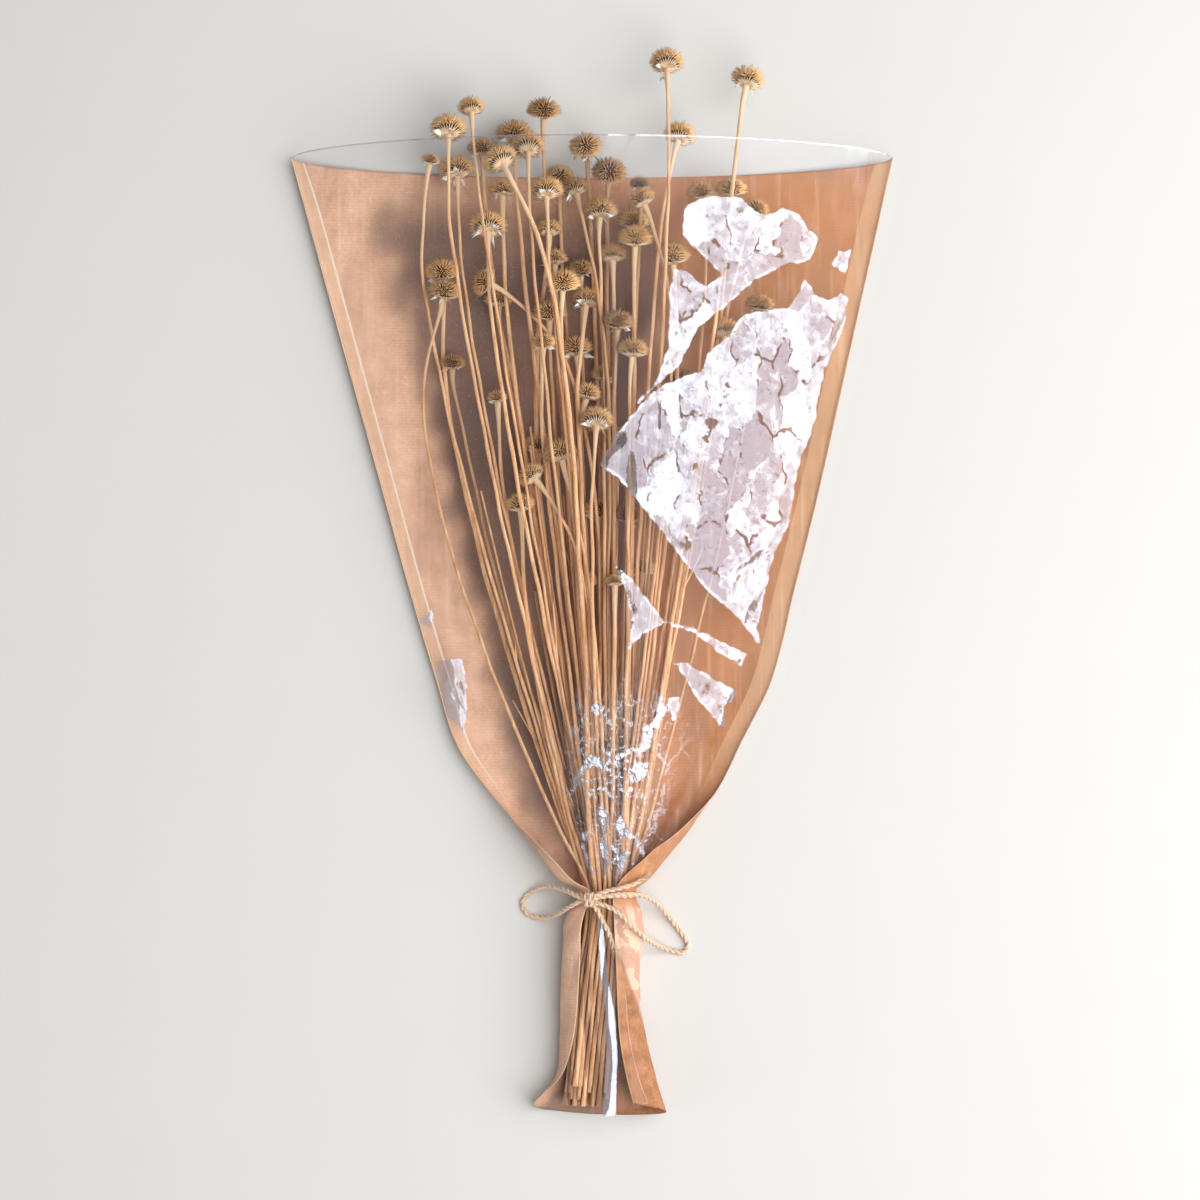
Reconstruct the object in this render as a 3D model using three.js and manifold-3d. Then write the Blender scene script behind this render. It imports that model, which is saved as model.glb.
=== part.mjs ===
// A bunch of dried daisies in a florist's sleeve, lying on its back on a table.
// Kraft paper is under the stems, clear film is over them, and a jute twine bow ties the neck.
// Millimetres. +Y runs from the cut stem ends to the flower heads, +X is to the right seen from
// above and +Z is up. The pieces are laid out from the middle of the tie at X 0, Y 0, with the table
// at Z 0, and the whole group is then moved so that its origin is the bottom centre of its box.
import * as THREE from 'three';
import { mergeVertices } from 'three/addons/utils/BufferGeometryUtils.js';
import Module from 'manifold-3d';

const wasm = await Module();
wasm.setup();

// ---- Driving dimensions ----
const gap = 0.3; // kept between pieces that touch

const stemRadius = 1.0;
const stemSides = 5;
const cutEndY = -126; // the longest stems end here
const cutEndStep = 4; // stems are cut in a few different lengths, this much apart
const cutEndShift = { x: -13, z: -3.6 }; // how the stems lean between the tie and their cut ends

const headFacets = 8;
const stemDepth = 0.3; // how far the stem goes into its head, in head radii
const headMiddle = 0.55; // middle of a head, in head radii above the top of its stem

const neck = { x: 1.3, z: 15.9, halfWidth: 17.5, halfHeight: 12 }; // outside of the sleeve at the tie
const stemPitch = 2.55; // stem to stem in the tie
const stemRoom = { halfWidth: 13.7, halfHeight: 8.7 }; // stem axes stay within this at the tie

const paperThickness = 0.7;
const filmThickness = 0.4;
const filmInset = paperThickness + 1.3; // the film lies inside the paper where they overlap
const overlapAngle = 18; // degrees of film under each paper edge at the neck

const twineRadius = 1.5;
const twineSides = 8;

// ---- The sleeve: a flattened tube, described by its section at each Y ----
const stations = [
  -124, -105, -80, -50, -22, -8, -3, 3, 8, 22, 42, 62, 90, 130, 180, 240, 300, 355, 405, 441,
];
const leftEdge = [
  [-124, -43.8], [-105, -28.5], [-22, -24.6], [-8, -20.5],
  [-3, neck.x - neck.halfWidth], [3, neck.x - neck.halfWidth], [8, -26],
  [62, -70], [89, -88.8], [161, -111.6], [441, -188.4],
];
const rightEdge = [
  [-124, 37.2], [-103, 29.4], [-65, 19.5], [-25, 23], [-8, 21.5],
  [-3, neck.x + neck.halfWidth], [3, neck.x + neck.halfWidth], [8, 25],
  [56, 63.6], [127, 100.2], [243, 129], [441, 172.8],
];
const underside = [[-105, 0], [-55, 0.6], [0, neck.z - neck.halfHeight], [42, 0.8], [62, 0]];
const seamHeight = [[-124, 10], [0, neck.z], [62, 9], [125, 5], [441, 6]];
const topHeight = [
  [-124, 28], [-50, 28], [0, neck.z + neck.halfHeight], [62, 40], [125, 50], [210, 58], [441, 60],
];
const crown = [[22, 1], [125, 1.5]]; // 1 is an ellipse, more is a narrower top
const filmLift = [[62, 0], [90, 0.6]]; // film edge above the paper edge
const paperLeftAngle = [[-124, 165], [-105, 150], [-72, 122], [0, 125], [15, 140], [62, 180]];
const paperRightAngle = [[-124, 60], [-103, 68], [-55, 65], [0, 80], [15, 60], [62, 0]];
const flatShare = 1.15; // the section is drawn this much too deep and cut off flat by the table
const paperMouthDip = 12;
const filmMouthRise = 9;
const footBulge = 9;
const sheetColumns = 18;

// ---- The daisies: where each head is, its radius, and the way it faces ----
// x, y, z of the middle of the head; radius; lean to the right of +Y and rise above the table in
// degrees; bow, how far the stem swings to the right of a straight line.
const heads = [
  [-76.8, 469.8, 30, 8, -3, -25, 0],
  [-39.6, 468, 34, 10, 3, 15, 3],
  [-92.4, 456.6, 34, 10.8, 0, -30, -8],
  [-73.8, 447, 14, 9, 0, 0, 0],
  [-52.8, 455.4, 18, 10.8, 0, -15, 0],
  [-48.6, 446.4, 37, 10.2, -2, -35, 0],
  [-11.4, 446.4, 30, 10, -4, 35, 0],
  [-63.6, 437.4, 44, 10.4, -29, -30, 14],
  [-25.8, 429.6, 16, 9, 0, 30, 0],
  [1.2, 430.8, 38, 10.4, 4, 40, 0],
  [-85.8, 434.4, 14, 10.8, -5, -20, -4],
  [-103.8, 438.6, 24, 5.6, 10, 0, -10],
  [-64.8, 421.8, 16, 8, 0, -10, 0],
  [-33.6, 420, 36, 10.4, -3, -25, 0],
  [-19.2, 421.8, 26, 8.6, -14, -20, 5],
  [-3, 408.6, 32, 10, 4, -10, 0],
  [-72, 399.6, 22, 11, 0, -35, -3],
  [-97.2, 373.2, 18, 10.4, -4, 12, -16],
  [-94.8, 360.6, 38, 9.4, 12, 10, -24],
  [-76.2, 366, 30, 9.4, -62, 5, 20],
  [-25.8, 365.4, 42, 10.4, 3, 18, 0],
  [-10.2, 355.8, 30, 9, 6, -20, 0],
  [-37.8, 348.6, 26, 10, 0, 12, 0],
  [-36.6, 329.4, 40, 7.4, 2, 10, 0],
  [-19.2, 327.6, 16, 10, -6, 0, 0],
  [36.6, 496.2, 33, 10, 0, -30, 6],
  [85.2, 486.6, 30, 10, 14, -18, 8],
  [45, 453.6, 26, 9.6, 18, -25, 0],
  [17.4, 424.2, 30, 6.4, 0, 0, 0],
  [58.8, 420, 24, 9, -4, 0, 4],
  [74.4, 421.8, 28, 9, 4, 10, 4],
  [90.6, 410.4, 20, 8.2, 24, 0, 6],
  [21, 414, 44, 8.6, -24, -10, 6],
  [17.4, 403.2, 18, 9.4, 0, 0, 0],
  [15.6, 391.8, 38, 10.4, 2, 8, 0],
  [39.6, 381.6, 32, 10.8, -5, 5, 4],
  [4.2, 382.8, 22, 8.6, -2, -15, 0],
  [92.4, 352.8, 26, 8.6, 8, 0, 6],
  [68.4, 337.2, 22, 9.4, 10, -20, 4],
  [10.8, 342, 38, 9.4, 5, 8, 0],
  [24, 325.2, 42, 9.4, 6, -5, 3],
  [-64.2, 297.6, 20, 6, -3, 0, -4],
  [-8.4, 300, 34, 8.4, 14, -5, 0],
  [-6.6, 283.2, 44, 10.2, 4, -35, 0],
  [-2.4, 311.4, 28, 7.4, 0, 0, 0],
  [-39, 269.4, 24, 9.4, 0, -5, 0],
  [-19.8, 264.6, 36, 10.6, -12, -10, 0],
  [-44.4, 250.8, 36, 8.6, -40, -20, 6],
  [-49.8, 234, 26, 9, -4, -5, -5],
  [4.2, 274.2, 22, 9.4, 0, 10, 0],
  [43.8, 307.8, 22, 9, -8, 30, 0],
  [12, 227.4, 22, 9, 4, 0, 0],
  [-6, 231, 16, 9, 0, 15, 0],
  [-14.4, 188.4, 24, 6.4, 0, 0, 0],
  [20.4, 196.8, 26, 7.6, 5, 15, 0],
  [3.6, 187.8, 32, 6, 0, -15, 0],
  [-4.8, 90, 32, 6, 0, 20, 0],
];
const stemFractions = [0.12, 0.25, 0.39, 0.54, 0.69, 0.83]; // joints between the tie and the head
const fixedJoints = 3; // cut end, mid foot and tie don't move when the bunch settles
const headStub = 8; // straight length of stem under a head
const settlePasses = 300;

// ---- The twine's route, tie frame ----
const knot = { x: -9.5, y: -2.4, z: 30.4, radius: 4.6 };
const knotPoint = [knot.x, knot.y, knot.z];
const leftLoop = [
  knotPoint, [-16, -0.6, 28], [-23, 2.4, 20], [-35.4, 4.2, 7], [-46, -0.6, 1.8], [-49.6, -6, 1.6],
  [-46.8, -12, 1.6], [-38, -14.8, 3.6], [-28, -11.6, 14], [-21, -6.6, 24.4], [-15, -3.6, 28.6], knotPoint,
];
const rightLoop = [
  knotPoint, [-1, -0.2, 30.4], [8, 0.8, 29.8], [15.5, 0.8, 26.8], [22.5, -0.4, 21], [29, -4, 12],
  [35.6, -11, 4.6], [43, -20.4, 1.8], [49.6, -31, 1.6], [46.6, -35.4, 1.6], [38.6, -34, 2.8],
  [31, -30.6, 9.6], [24, -25.6, 21.4], [16.5, -18.6, 28.4], [9, -11, 31], [1, -6, 31], knotPoint,
];
const upTail = [knotPoint, [-1, 2.4, 31.4], [8, 4.4, 31.2], [17.4, 7.2, 29.4], [25.2, 11, 26.6]];
const downTail = [knotPoint, [-5, -8, 30.6], [-1.4, -15, 29.8], [2.4, -22.6, 29.6], [4.8, -31.2, 29.2]];

// ---- Colours ----
const daisyColours = ['#a9814f', '#8f6a3f', '#bd9766', '#7d5f42', '#c7a57a'];
const paperColour = '#b98e69';
const filmColour = '#e6e9ec';
const twineColour = '#b89f78';

// ---- Small helpers ----
const radians = (degrees) => (degrees * Math.PI) / 180;

/** Value at y in a table of [y, value] pairs, straight between its rows and level past its ends. */
function along(table, y) {
  if (y <= table[0][0]) return table[0][1];
  for (let i = 1; i < table.length; i++) {
    const [y0, v0] = table[i - 1];
    const [y1, v1] = table[i];
    if (y <= y1) return v0 + ((v1 - v0) * (y - y0)) / (y1 - y0);
  }
  return table[table.length - 1][1];
}

/** The sleeve's section at y. */
function section(y) {
  const left = along(leftEdge, y);
  const right = along(rightEdge, y);
  return {
    middle: (left + right) / 2,
    halfWidth: (right - left) / 2,
    bottom: along(underside, y),
    seam: along(seamHeight, y),
    top: along(topHeight, y),
    crown: along(crown, y),
    lift: along(filmLift, y),
  };
}

/** Height of the sleeve at a sine of the section angle: under the seam if it is negative. */
function sleeveHeight(cut, sine, inset, lift) {
  if (sine < 0) {
    const depth = (cut.seam - cut.bottom) * flatShare - inset;
    return Math.max(cut.seam + depth * sine, cut.bottom + inset);
  }
  return cut.seam + lift + (cut.top - cut.seam - inset - lift) * sine ** cut.crown;
}

function sleevePoint(angle, y, inset, lifted) {
  const cut = section(y);
  const x = cut.middle + (cut.halfWidth - inset) * Math.cos(angle);
  return [x, y, sleeveHeight(cut, Math.sin(angle), inset, lifted ? cut.lift : 0)];
}

/** The same shape with its shared corners merged. */
function merge(geometry) {
  const bare = geometry.clone();
  bare.deleteAttribute('normal');
  bare.deleteAttribute('uv');
  return mergeVertices(bare, 1e-4);
}

function toManifold(geometry) {
  const merged = merge(geometry);
  const mesh = new wasm.Mesh({
    numProp: 3,
    vertProperties: new Float32Array(merged.attributes.position.array),
    triVerts: new Uint32Array(merged.index.array),
  });
  return new wasm.Manifold(mesh);
}

function fromManifold(solid) {
  const mesh = solid.getMesh();
  const geometry = new THREE.BufferGeometry();
  geometry.setAttribute('position', new THREE.BufferAttribute(new Float32Array(mesh.vertProperties), 3));
  geometry.setIndex(new THREE.BufferAttribute(new Uint32Array(mesh.triVerts), 1));
  geometry.computeVertexNormals();
  return geometry;
}

function piece(name, geometry, colour, roughness, extra = {}) {
  const material = new THREE.MeshStandardMaterial({ color: colour, roughness, metalness: 0, ...extra });
  const mesh = new THREE.Mesh(geometry, material);
  mesh.name = name;
  return mesh;
}

/** A path through given joints, with one step of the extrusion between each pair. */
class JointPath extends THREE.Curve {
  constructor(joints) {
    super();
    this.joints = joints.map((joint) => new THREE.Vector3(...joint));
  }
  getPoint(t, target = new THREE.Vector3()) {
    const place = Math.min(t * (this.joints.length - 1), this.joints.length - 1);
    const before = Math.min(Math.floor(place + 1e-6), this.joints.length - 2);
    return target.lerpVectors(this.joints[before], this.joints[before + 1], place - before);
  }
  getPointAt(u, target) {
    return this.getPoint(u, target);
  }
  getTangentAt(u, target = new THREE.Vector3()) {
    const i = Math.round(u * (this.joints.length - 1));
    const before = this.joints[Math.max(i - 1, 0)];
    const after = this.joints[Math.min(i + 1, this.joints.length - 1)];
    return target.subVectors(after, before).normalize();
  }
}

function tube(joints, radius, sides) {
  const corners = [];
  for (let i = 0; i < sides; i++) {
    const angle = (2 * Math.PI * i) / sides;
    corners.push(new THREE.Vector2(radius * Math.cos(angle), radius * Math.sin(angle)));
  }
  return new THREE.ExtrudeGeometry(new THREE.Shape(corners), {
    steps: joints.length - 1,
    bevelEnabled: false,
    extrudePath: new JointPath(joints),
  });
}

// ---- Laying out the daisies ----
const add = (a, b, scale = 1) => [a[0] + b[0] * scale, a[1] + b[1] * scale, a[2] + b[2] * scale];
const minus = (a, b) => [a[0] - b[0], a[1] - b[1], a[2] - b[2]];
const dot = (a, b) => a[0] * b[0] + a[1] * b[1] + a[2] * b[2];
const mix = (a, b, t) => a.map((v, i) => v + (b[i] - v) * t);

function facing(lean, rise) {
  const side = radians(lean);
  const up = radians(rise);
  return [Math.sin(side) * Math.cos(up), Math.cos(side) * Math.cos(up), Math.sin(up)];
}

/** Places for every stem in the tie: rows from the table up, each row from left to right. */
function tieRows(count) {
  const rowStep = (stemPitch * Math.sqrt(3)) / 2;
  const rowsEachWay = Math.floor(stemRoom.halfHeight / rowStep);
  const rows = [];
  for (let row = -rowsEachWay; row <= rowsEachWay; row++) {
    const z = row * rowStep;
    const halfWidth = stemRoom.halfWidth * Math.sqrt(1 - (z / stemRoom.halfHeight) ** 2);
    rows.push({ z, halfWidth, room: Math.floor((2 * halfWidth) / stemPitch) + 1 });
  }
  const room = rows.reduce((sum, row) => sum + row.room, 0);
  let filled = 0;
  let passed = 0;
  for (const row of rows) {
    passed += row.room;
    row.count = Math.round((count * passed) / room) - filled;
    filled += row.count;
  }
  return rows;
}

function layOut() {
  const daisies = heads.map(([x, y, z, radius, lean, rise, bow], index) => {
    const axis = facing(lean, rise);
    const stemTop = add([x, y, z], axis, -headMiddle * radius);
    return { index, radius, axis, bow, stemTop, height: z };
  });
  const byHeight = [...daisies].sort((a, b) => a.height - b.height);
  const direction = (daisy) => daisy.stemTop[0] / daisy.stemTop[1];
  for (const row of tieRows(daisies.length)) {
    const inRow = byHeight.splice(0, row.count).sort((a, b) => direction(a) - direction(b));
    const step = Math.max((2 * row.halfWidth) / inRow.length, stemPitch);
    inRow.forEach((daisy, i) => {
      daisy.tie = [neck.x + (i + 0.5 - inRow.length / 2) * step, 0, neck.z + row.z];
    });
  }
  return daisies.map(withJoints);
}

/** A stem's joints from its cut end, through the tie and along a curve into the head. */
function withJoints(daisy) {
  const { tie, stemTop, axis, bow, index } = daisy;
  const cutY = cutEndY + cutEndStep * (index % 4);
  const share = cutY / cutEndY;
  const cutEnd = [tie[0] + cutEndShift.x * share, cutY, tie[2] + cutEndShift.z * share];
  const joints = [cutEnd, mix(cutEnd, tie, 0.5), tie];
  const stub = add(stemTop, axis, -headStub);
  const length = Math.hypot(...minus(stub, tie));
  const fan = [(stub[0] - tie[0]) / length, 1, 0.1];
  const leave = add(tie, fan, length * 0.3);
  const arrive = add(stub, axis, -Math.min(length * 0.3, 70));
  leave[0] += bow;
  arrive[0] += bow;
  for (const t of stemFractions) {
    const s = 1 - t;
    joints.push([0, 1, 2].map((i) =>
      s ** 3 * tie[i] + 3 * s * s * t * leave[i] + 3 * s * t * t * arrive[i] + t ** 3 * stub[i]));
  }
  joints.push(stub, stemTop);
  return { ...daisy, joints, rest: joints.map((joint) => [...joint]) };
}

const middleOf = ({ joints, axis, radius }) => add(joints[joints.length - 1], axis, headMiddle * radius);

/** Moves a joint across its stem. The last two joints and the head move as one. */
function push(daisy, joint, across) {
  const last = daisy.joints.length - 1;
  if (joint < fixedJoints) return;
  const moved = joint >= last - 1 ? [last - 1, last] : [joint];
  for (const k of moved) {
    daisy.joints[k][0] += across[0];
    daisy.joints[k][2] += across[2];
  }
}

/** Nearest places on segments a0-a1 and b0-b1, as fractions along them. */
function nearest(a0, a1, b0, b1) {
  const a = minus(a1, a0);
  const b = minus(b1, b0);
  const r = minus(a0, b0);
  const aa = dot(a, a);
  const bb = dot(b, b);
  const ab = dot(a, b);
  const ar = dot(a, r);
  const br = dot(b, r);
  const clamp = (v) => Math.min(Math.max(v, 0), 1);
  const spread = aa * bb - ab * ab;
  let s = spread > 1e-9 ? clamp((ab * br - ar * bb) / spread) : 0.5;
  const t = clamp((ab * s + br) / bb);
  s = clamp((ab * t - ar) / aa);
  return [s, t];
}

/** How far apart b must move from a, across the stems, for them to be `wanted` apart. */
function parting(a, b, wanted) {
  const apart = minus(b, a);
  const distance = Math.hypot(...apart);
  if (distance >= wanted) return null;
  const across = Math.hypot(apart[0], apart[2]);
  const way = across > 1e-3 ? [apart[0] / across, 0, apart[2] / across] : [0, 0, 1];
  const need = Math.sqrt(Math.max(wanted ** 2 - apart[1] ** 2, 0)) - across;
  return way.map((v) => (v * need) / 2);
}

function partHeads(a, b) {
  const move = parting(middleOf(a), middleOf(b), a.radius + b.radius + gap * 2);
  if (!move) return;
  push(a, a.joints.length - 1, move.map((v) => -v));
  push(b, b.joints.length - 1, move);
}

function partHeadAndStem(head, stem) {
  const middle = middleOf(head);
  for (let k = 0; k < stem.joints.length - 1; k++) {
    const [from, to] = [stem.joints[k], stem.joints[k + 1]];
    if (from[1] > middle[1] + head.radius + 2 || to[1] < middle[1] - head.radius - 2) continue;
    const run = minus(to, from);
    const share = Math.min(Math.max(dot(minus(middle, from), run) / dot(run, run), 0), 1);
    const move = parting(middle, mix(from, to, share), head.radius + stemRadius + gap * 2);
    if (!move) continue;
    push(head, head.joints.length - 1, move.map((v) => -v * 0.3));
    push(stem, k, move.map((v) => v * 1.7 * (1 - share)));
    push(stem, k + 1, move.map((v) => v * 1.7 * share));
  }
}

function partStems(a, b) {
  const wanted = 2 * stemRadius + gap * 1.5;
  for (let i = 0; i < a.joints.length - 1; i++) {
    for (let j = 0; j < b.joints.length - 1; j++) {
      const [a0, a1, b0, b1] = [a.joints[i], a.joints[i + 1], b.joints[j], b.joints[j + 1]];
      if (a0[1] > b1[1] + wanted || b0[1] > a1[1] + wanted) continue;
      const [s, t] = nearest(a0, a1, b0, b1);
      const move = parting(mix(a0, a1, s), mix(b0, b1, t), wanted);
      if (!move) continue;
      push(a, i, move.map((v) => -v * (1 - s)));
      push(a, i + 1, move.map((v) => -v * s));
      push(b, j, move.map((v) => v * (1 - t)));
      push(b, j + 1, move.map((v) => v * t));
    }
  }
}

/** Lowest and highest a round thing of that radius may be at x, y. */
function roomAt(x, y, radius) {
  const cut = section(y);
  const inset = filmInset + filmThickness + gap;
  const side = Math.min(Math.abs(x - cut.middle) / (cut.halfWidth - inset), 1);
  const sine = Math.sqrt(1 - side * side);
  const pastMouth = y > stations[stations.length - 1] + radius + filmMouthRise;
  const low = pastMouth ? 0 : sleeveHeight(cut, -sine, inset, 0);
  const high = pastMouth ? cut.top + radius : sleeveHeight(cut, sine, inset, cut.lift);
  return [low + radius + gap, high - radius - gap * 3];
}

function keepInside(daisy) {
  daisy.joints.forEach(([x, y, z], k) => {
    if (k < fixedJoints || k > daisy.joints.length - 3) return;
    const [low, high] = roomAt(x, y, stemRadius);
    push(daisy, k, [0, 0, Math.min(Math.max(z, low), high) - z]);
  });
  const [x, y, z] = middleOf(daisy);
  const [low, high] = roomAt(x, y, daisy.radius);
  push(daisy, daisy.joints.length - 1, [0, 0, Math.max(Math.min(z, high), low) - z]);
}

/** Evens out how far each joint has moved, so that a pushed stem bends smoothly. */
function smooth(daisy) {
  const moved = daisy.joints.map((joint, k) => minus(joint, daisy.rest[k]));
  for (let k = fixedJoints; k < daisy.joints.length - 2; k++) {
    for (const axis of [0, 2]) {
      daisy.joints[k][axis] += 0.3 * ((moved[k - 1][axis] + moved[k + 1][axis]) / 2 - moved[k][axis]);
    }
  }
}

/** Parts stems and heads until none overlap, as they would lie in the sleeve. */
function settle(daisies) {
  for (let pass = 0; pass < settlePasses; pass++) {
    if (pass < settlePasses * 0.7) daisies.forEach(smooth);
    for (let i = 0; i < daisies.length; i++) {
      for (let j = i + 1; j < daisies.length; j++) {
        partHeads(daisies[i], daisies[j]);
        partHeadAndStem(daisies[i], daisies[j]);
        partHeadAndStem(daisies[j], daisies[i]);
        partStems(daisies[i], daisies[j]);
      }
    }
    daisies.forEach(keepInside);
  }
}

// ---- The pieces ----
/** A domed seed head on a cup of bracts, turned about the head's axis. */
function headGeometry(radius) {
  const profile = [
    [0, -headStub], [stemRadius * 1.15, -headStub], [1.9, -0.5], [radius * 0.5, radius * 0.1],
    [radius, radius * 0.42], [radius * 0.86, radius * 0.85], [radius * 0.45, radius * 1.1],
    [0, radius * 1.18],
  ].map(([r, h]) => new THREE.Vector2(r, h));
  return new THREE.LatheGeometry(profile, headFacets);
}

function daisyPiece(daisy) {
  const { joints, axis, radius, index } = daisy;
  const last = joints[joints.length - 1];
  const stemEnd = add(last, axis, radius * stemDepth);
  const stem = toManifold(tube([...joints.slice(0, -1), stemEnd], stemRadius, stemSides));
  const turn = new THREE.Quaternion();
  turn.setFromUnitVectors(new THREE.Vector3(0, 1, 0), new THREE.Vector3(...axis));
  const head = headGeometry(radius).applyQuaternion(turn).translate(...last);
  const whole = stem.add(toManifold(head));
  const name = `daisy_${String(index + 1).padStart(2, '0')}`;
  return piece(name, fromManifold(whole), daisyColours[index % daisyColours.length], 0.9);
}

/** A thin sheet over a grid: across from one angle to another, along through the stations. */
function sheetGeometry(place) {
  const rows = stations.length - 1;
  const geometry = new THREE.BoxGeometry(1, 1, 1, sheetColumns, rows, 1);
  const position = geometry.attributes.position;
  for (let i = 0; i < position.count; i++) {
    const across = position.getX(i) + 0.5;
    const row = Math.round((position.getY(i) + 0.5) * rows);
    position.setXYZ(i, ...place(across, row, position.getZ(i) > 0));
  }
  return merge(geometry);
}

function stationY(row, across, mouthMove) {
  const belly = Math.sin(Math.PI * across);
  const foot = row === 0 ? -footBulge * belly : 0;
  const mouth = row === stations.length - 1 ? mouthMove * belly : 0;
  return stations[row] + foot + mouth;
}

function kraftPaperBack() {
  const geometry = sheetGeometry((across, row, inside) => {
    const from = along(paperLeftAngle, stations[row]);
    const to = 360 + along(paperRightAngle, stations[row]);
    const y = stationY(row, across, -paperMouthDip);
    return sleevePoint(radians(from + (to - from) * across), y, inside ? paperThickness : 0, false);
  });
  return piece('kraft_paper_back', geometry, paperColour, 0.85);
}

function clearFilmFront() {
  const geometry = sheetGeometry((across, row, outside) => {
    const from = Math.min(along(paperLeftAngle, stations[row]) + overlapAngle, 180);
    const to = Math.max(along(paperRightAngle, stations[row]) - overlapAngle, 0);
    const y = stationY(row, across, filmMouthRise);
    const inset = filmInset + (outside ? 0 : filmThickness);
    return sleevePoint(radians(from + (to - from) * across), y, inset, true);
  });
  return piece('clear_film_front', geometry, filmColour, 0.08, { transparent: true, opacity: 0.3 });
}

/** The turn of twine round the neck, from the knot and back into it. */
function neckTurn() {
  const steps = 20;
  const reach = twineRadius + gap * 2;
  const start = Math.atan2((knot.z - neck.z) / neck.halfHeight, (knot.x - neck.x) / neck.halfWidth);
  const turn = [knotPoint];
  for (let i = 1; i < steps; i++) {
    const angle = start - (2 * Math.PI * i) / steps;
    turn.push(sleevePoint(angle, 0, -reach, false));
  }
  turn.push(knotPoint);
  return turn;
}

function smoothRoute(points, steps) {
  const corners = points.map((point) => new THREE.Vector3(...point));
  const curve = new THREE.CatmullRomCurve3(corners, false, 'centripetal');
  return curve.getSpacedPoints(steps).map((point) => point.toArray());
}

function juteTwine() {
  const knotBall = new THREE.SphereGeometry(knot.radius, 8, 6).translate(knot.x, knot.y, knot.z);
  const routes = [
    neckTurn(),
    smoothRoute(leftLoop, 18),
    smoothRoute(rightLoop, 24),
    smoothRoute(upTail, 6),
    smoothRoute(downTail, 6),
  ];
  const solid = routes.reduce(
    (whole, route) => whole.add(toManifold(tube(route, twineRadius, twineSides))),
    toManifold(knotBall),
  );
  return piece('jute_twine', fromManifold(solid), twineColour, 0.95);
}

function build() {
  const daisies = layOut();
  settle(daisies);
  const bunch = new THREE.Group();
  bunch.add(kraftPaperBack(), clearFilmFront());
  daisies.forEach((daisy) => bunch.add(daisyPiece(daisy)));
  const box = new THREE.Box3().setFromObject(bunch);
  bunch.add(juteTwine());
  bunch.position.set(-(box.min.x + box.max.x) / 2, -(box.min.y + box.max.y) / 2, -box.min.z);
  const whole = new THREE.Group();
  whole.add(bunch);
  return whole;
}

export default build();
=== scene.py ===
"""A bunch of dried daisies in a kraft paper and clear film sleeve, its neck tied with a jute bow.

Metres. +Y runs from the cut stem ends to the seed heads, +Z is up. Every place is read from the CAD
frame, or is measured from the middle of the tie.
"""
import math
import random

import bmesh
import bpy
import numpy as np
from bpy.props import FloatProperty, FloatVectorProperty, IntProperty, PointerProperty
from bpy.types import Operator, Panel, PropertyGroup
from mathutils import Matrix, Vector, noise


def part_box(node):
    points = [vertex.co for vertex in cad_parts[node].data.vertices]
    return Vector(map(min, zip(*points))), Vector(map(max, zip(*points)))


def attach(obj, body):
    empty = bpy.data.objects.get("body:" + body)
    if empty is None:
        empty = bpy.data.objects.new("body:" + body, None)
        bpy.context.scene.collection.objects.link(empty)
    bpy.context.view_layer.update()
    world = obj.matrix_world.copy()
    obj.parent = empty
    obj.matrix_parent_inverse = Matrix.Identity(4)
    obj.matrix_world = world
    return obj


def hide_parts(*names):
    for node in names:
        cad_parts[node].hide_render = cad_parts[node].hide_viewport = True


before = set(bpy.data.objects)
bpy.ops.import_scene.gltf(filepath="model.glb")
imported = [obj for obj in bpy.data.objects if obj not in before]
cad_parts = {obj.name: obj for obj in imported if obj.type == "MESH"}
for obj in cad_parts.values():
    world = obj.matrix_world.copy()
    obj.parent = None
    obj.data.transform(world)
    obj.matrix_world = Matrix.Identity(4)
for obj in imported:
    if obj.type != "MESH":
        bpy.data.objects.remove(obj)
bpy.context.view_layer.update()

bl_info = {
    "name": "Dried Daisy Bunch",
    "version": (1, 0, 0),
    "blender": (4, 5, 0),
    "location": "View3D > Sidebar > Daisies",
    "description": "Builds a sleeved bunch of dried daisies round its CAD frame",
    "category": "Object",
}

PAPER_LOW, PAPER_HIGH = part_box("kraft_paper_back")
TIE = Vector((PAPER_LOW.x + 0.1884, PAPER_LOW.y + 0.133, 0.0))  # middle of the tie, on the table
DAISY_NODES = sorted(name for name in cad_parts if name.startswith("daisy_"))
CAD_ROWS = 20  # rows of corners in each CAD sheet, from the cut ends to the mouth
HEAD_SQUASH = 1.18  # a CAD head's top is this many of its ring radii over its foot
PATH_STEP = 0.004  # distance between places along a stem
TWINE_STEP = 0.0007  # distance between places along the twine
MM = 0.001

VIEW_MIDDLE = (-0.003, 0.1758, 0.0)  # middle of the view, from the tie
LIT_MIDDLE = (0, 0.17, 0)  # what the lamps point at, from the tie
MAIN_BRIGHTNESS = 3.2
LOW_LAMPS = {  # way to each lamp from what it points at, its size and its brightness
    "low": ((0.98, -0.05, 0.24), 0.9, 2.6),
    "side": ((-0.93, -0.27, 0.22), 0.9, 2.2),
}
SKY_COLOUR, SKY_STRENGTH = (0.93, 0.96, 1.0, 1), 0.26

# What a daisy's corners belong to, kept on its mesh as a number
STEM, BRISTLE, RIB, CORE, PETAL = range(5)

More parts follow.
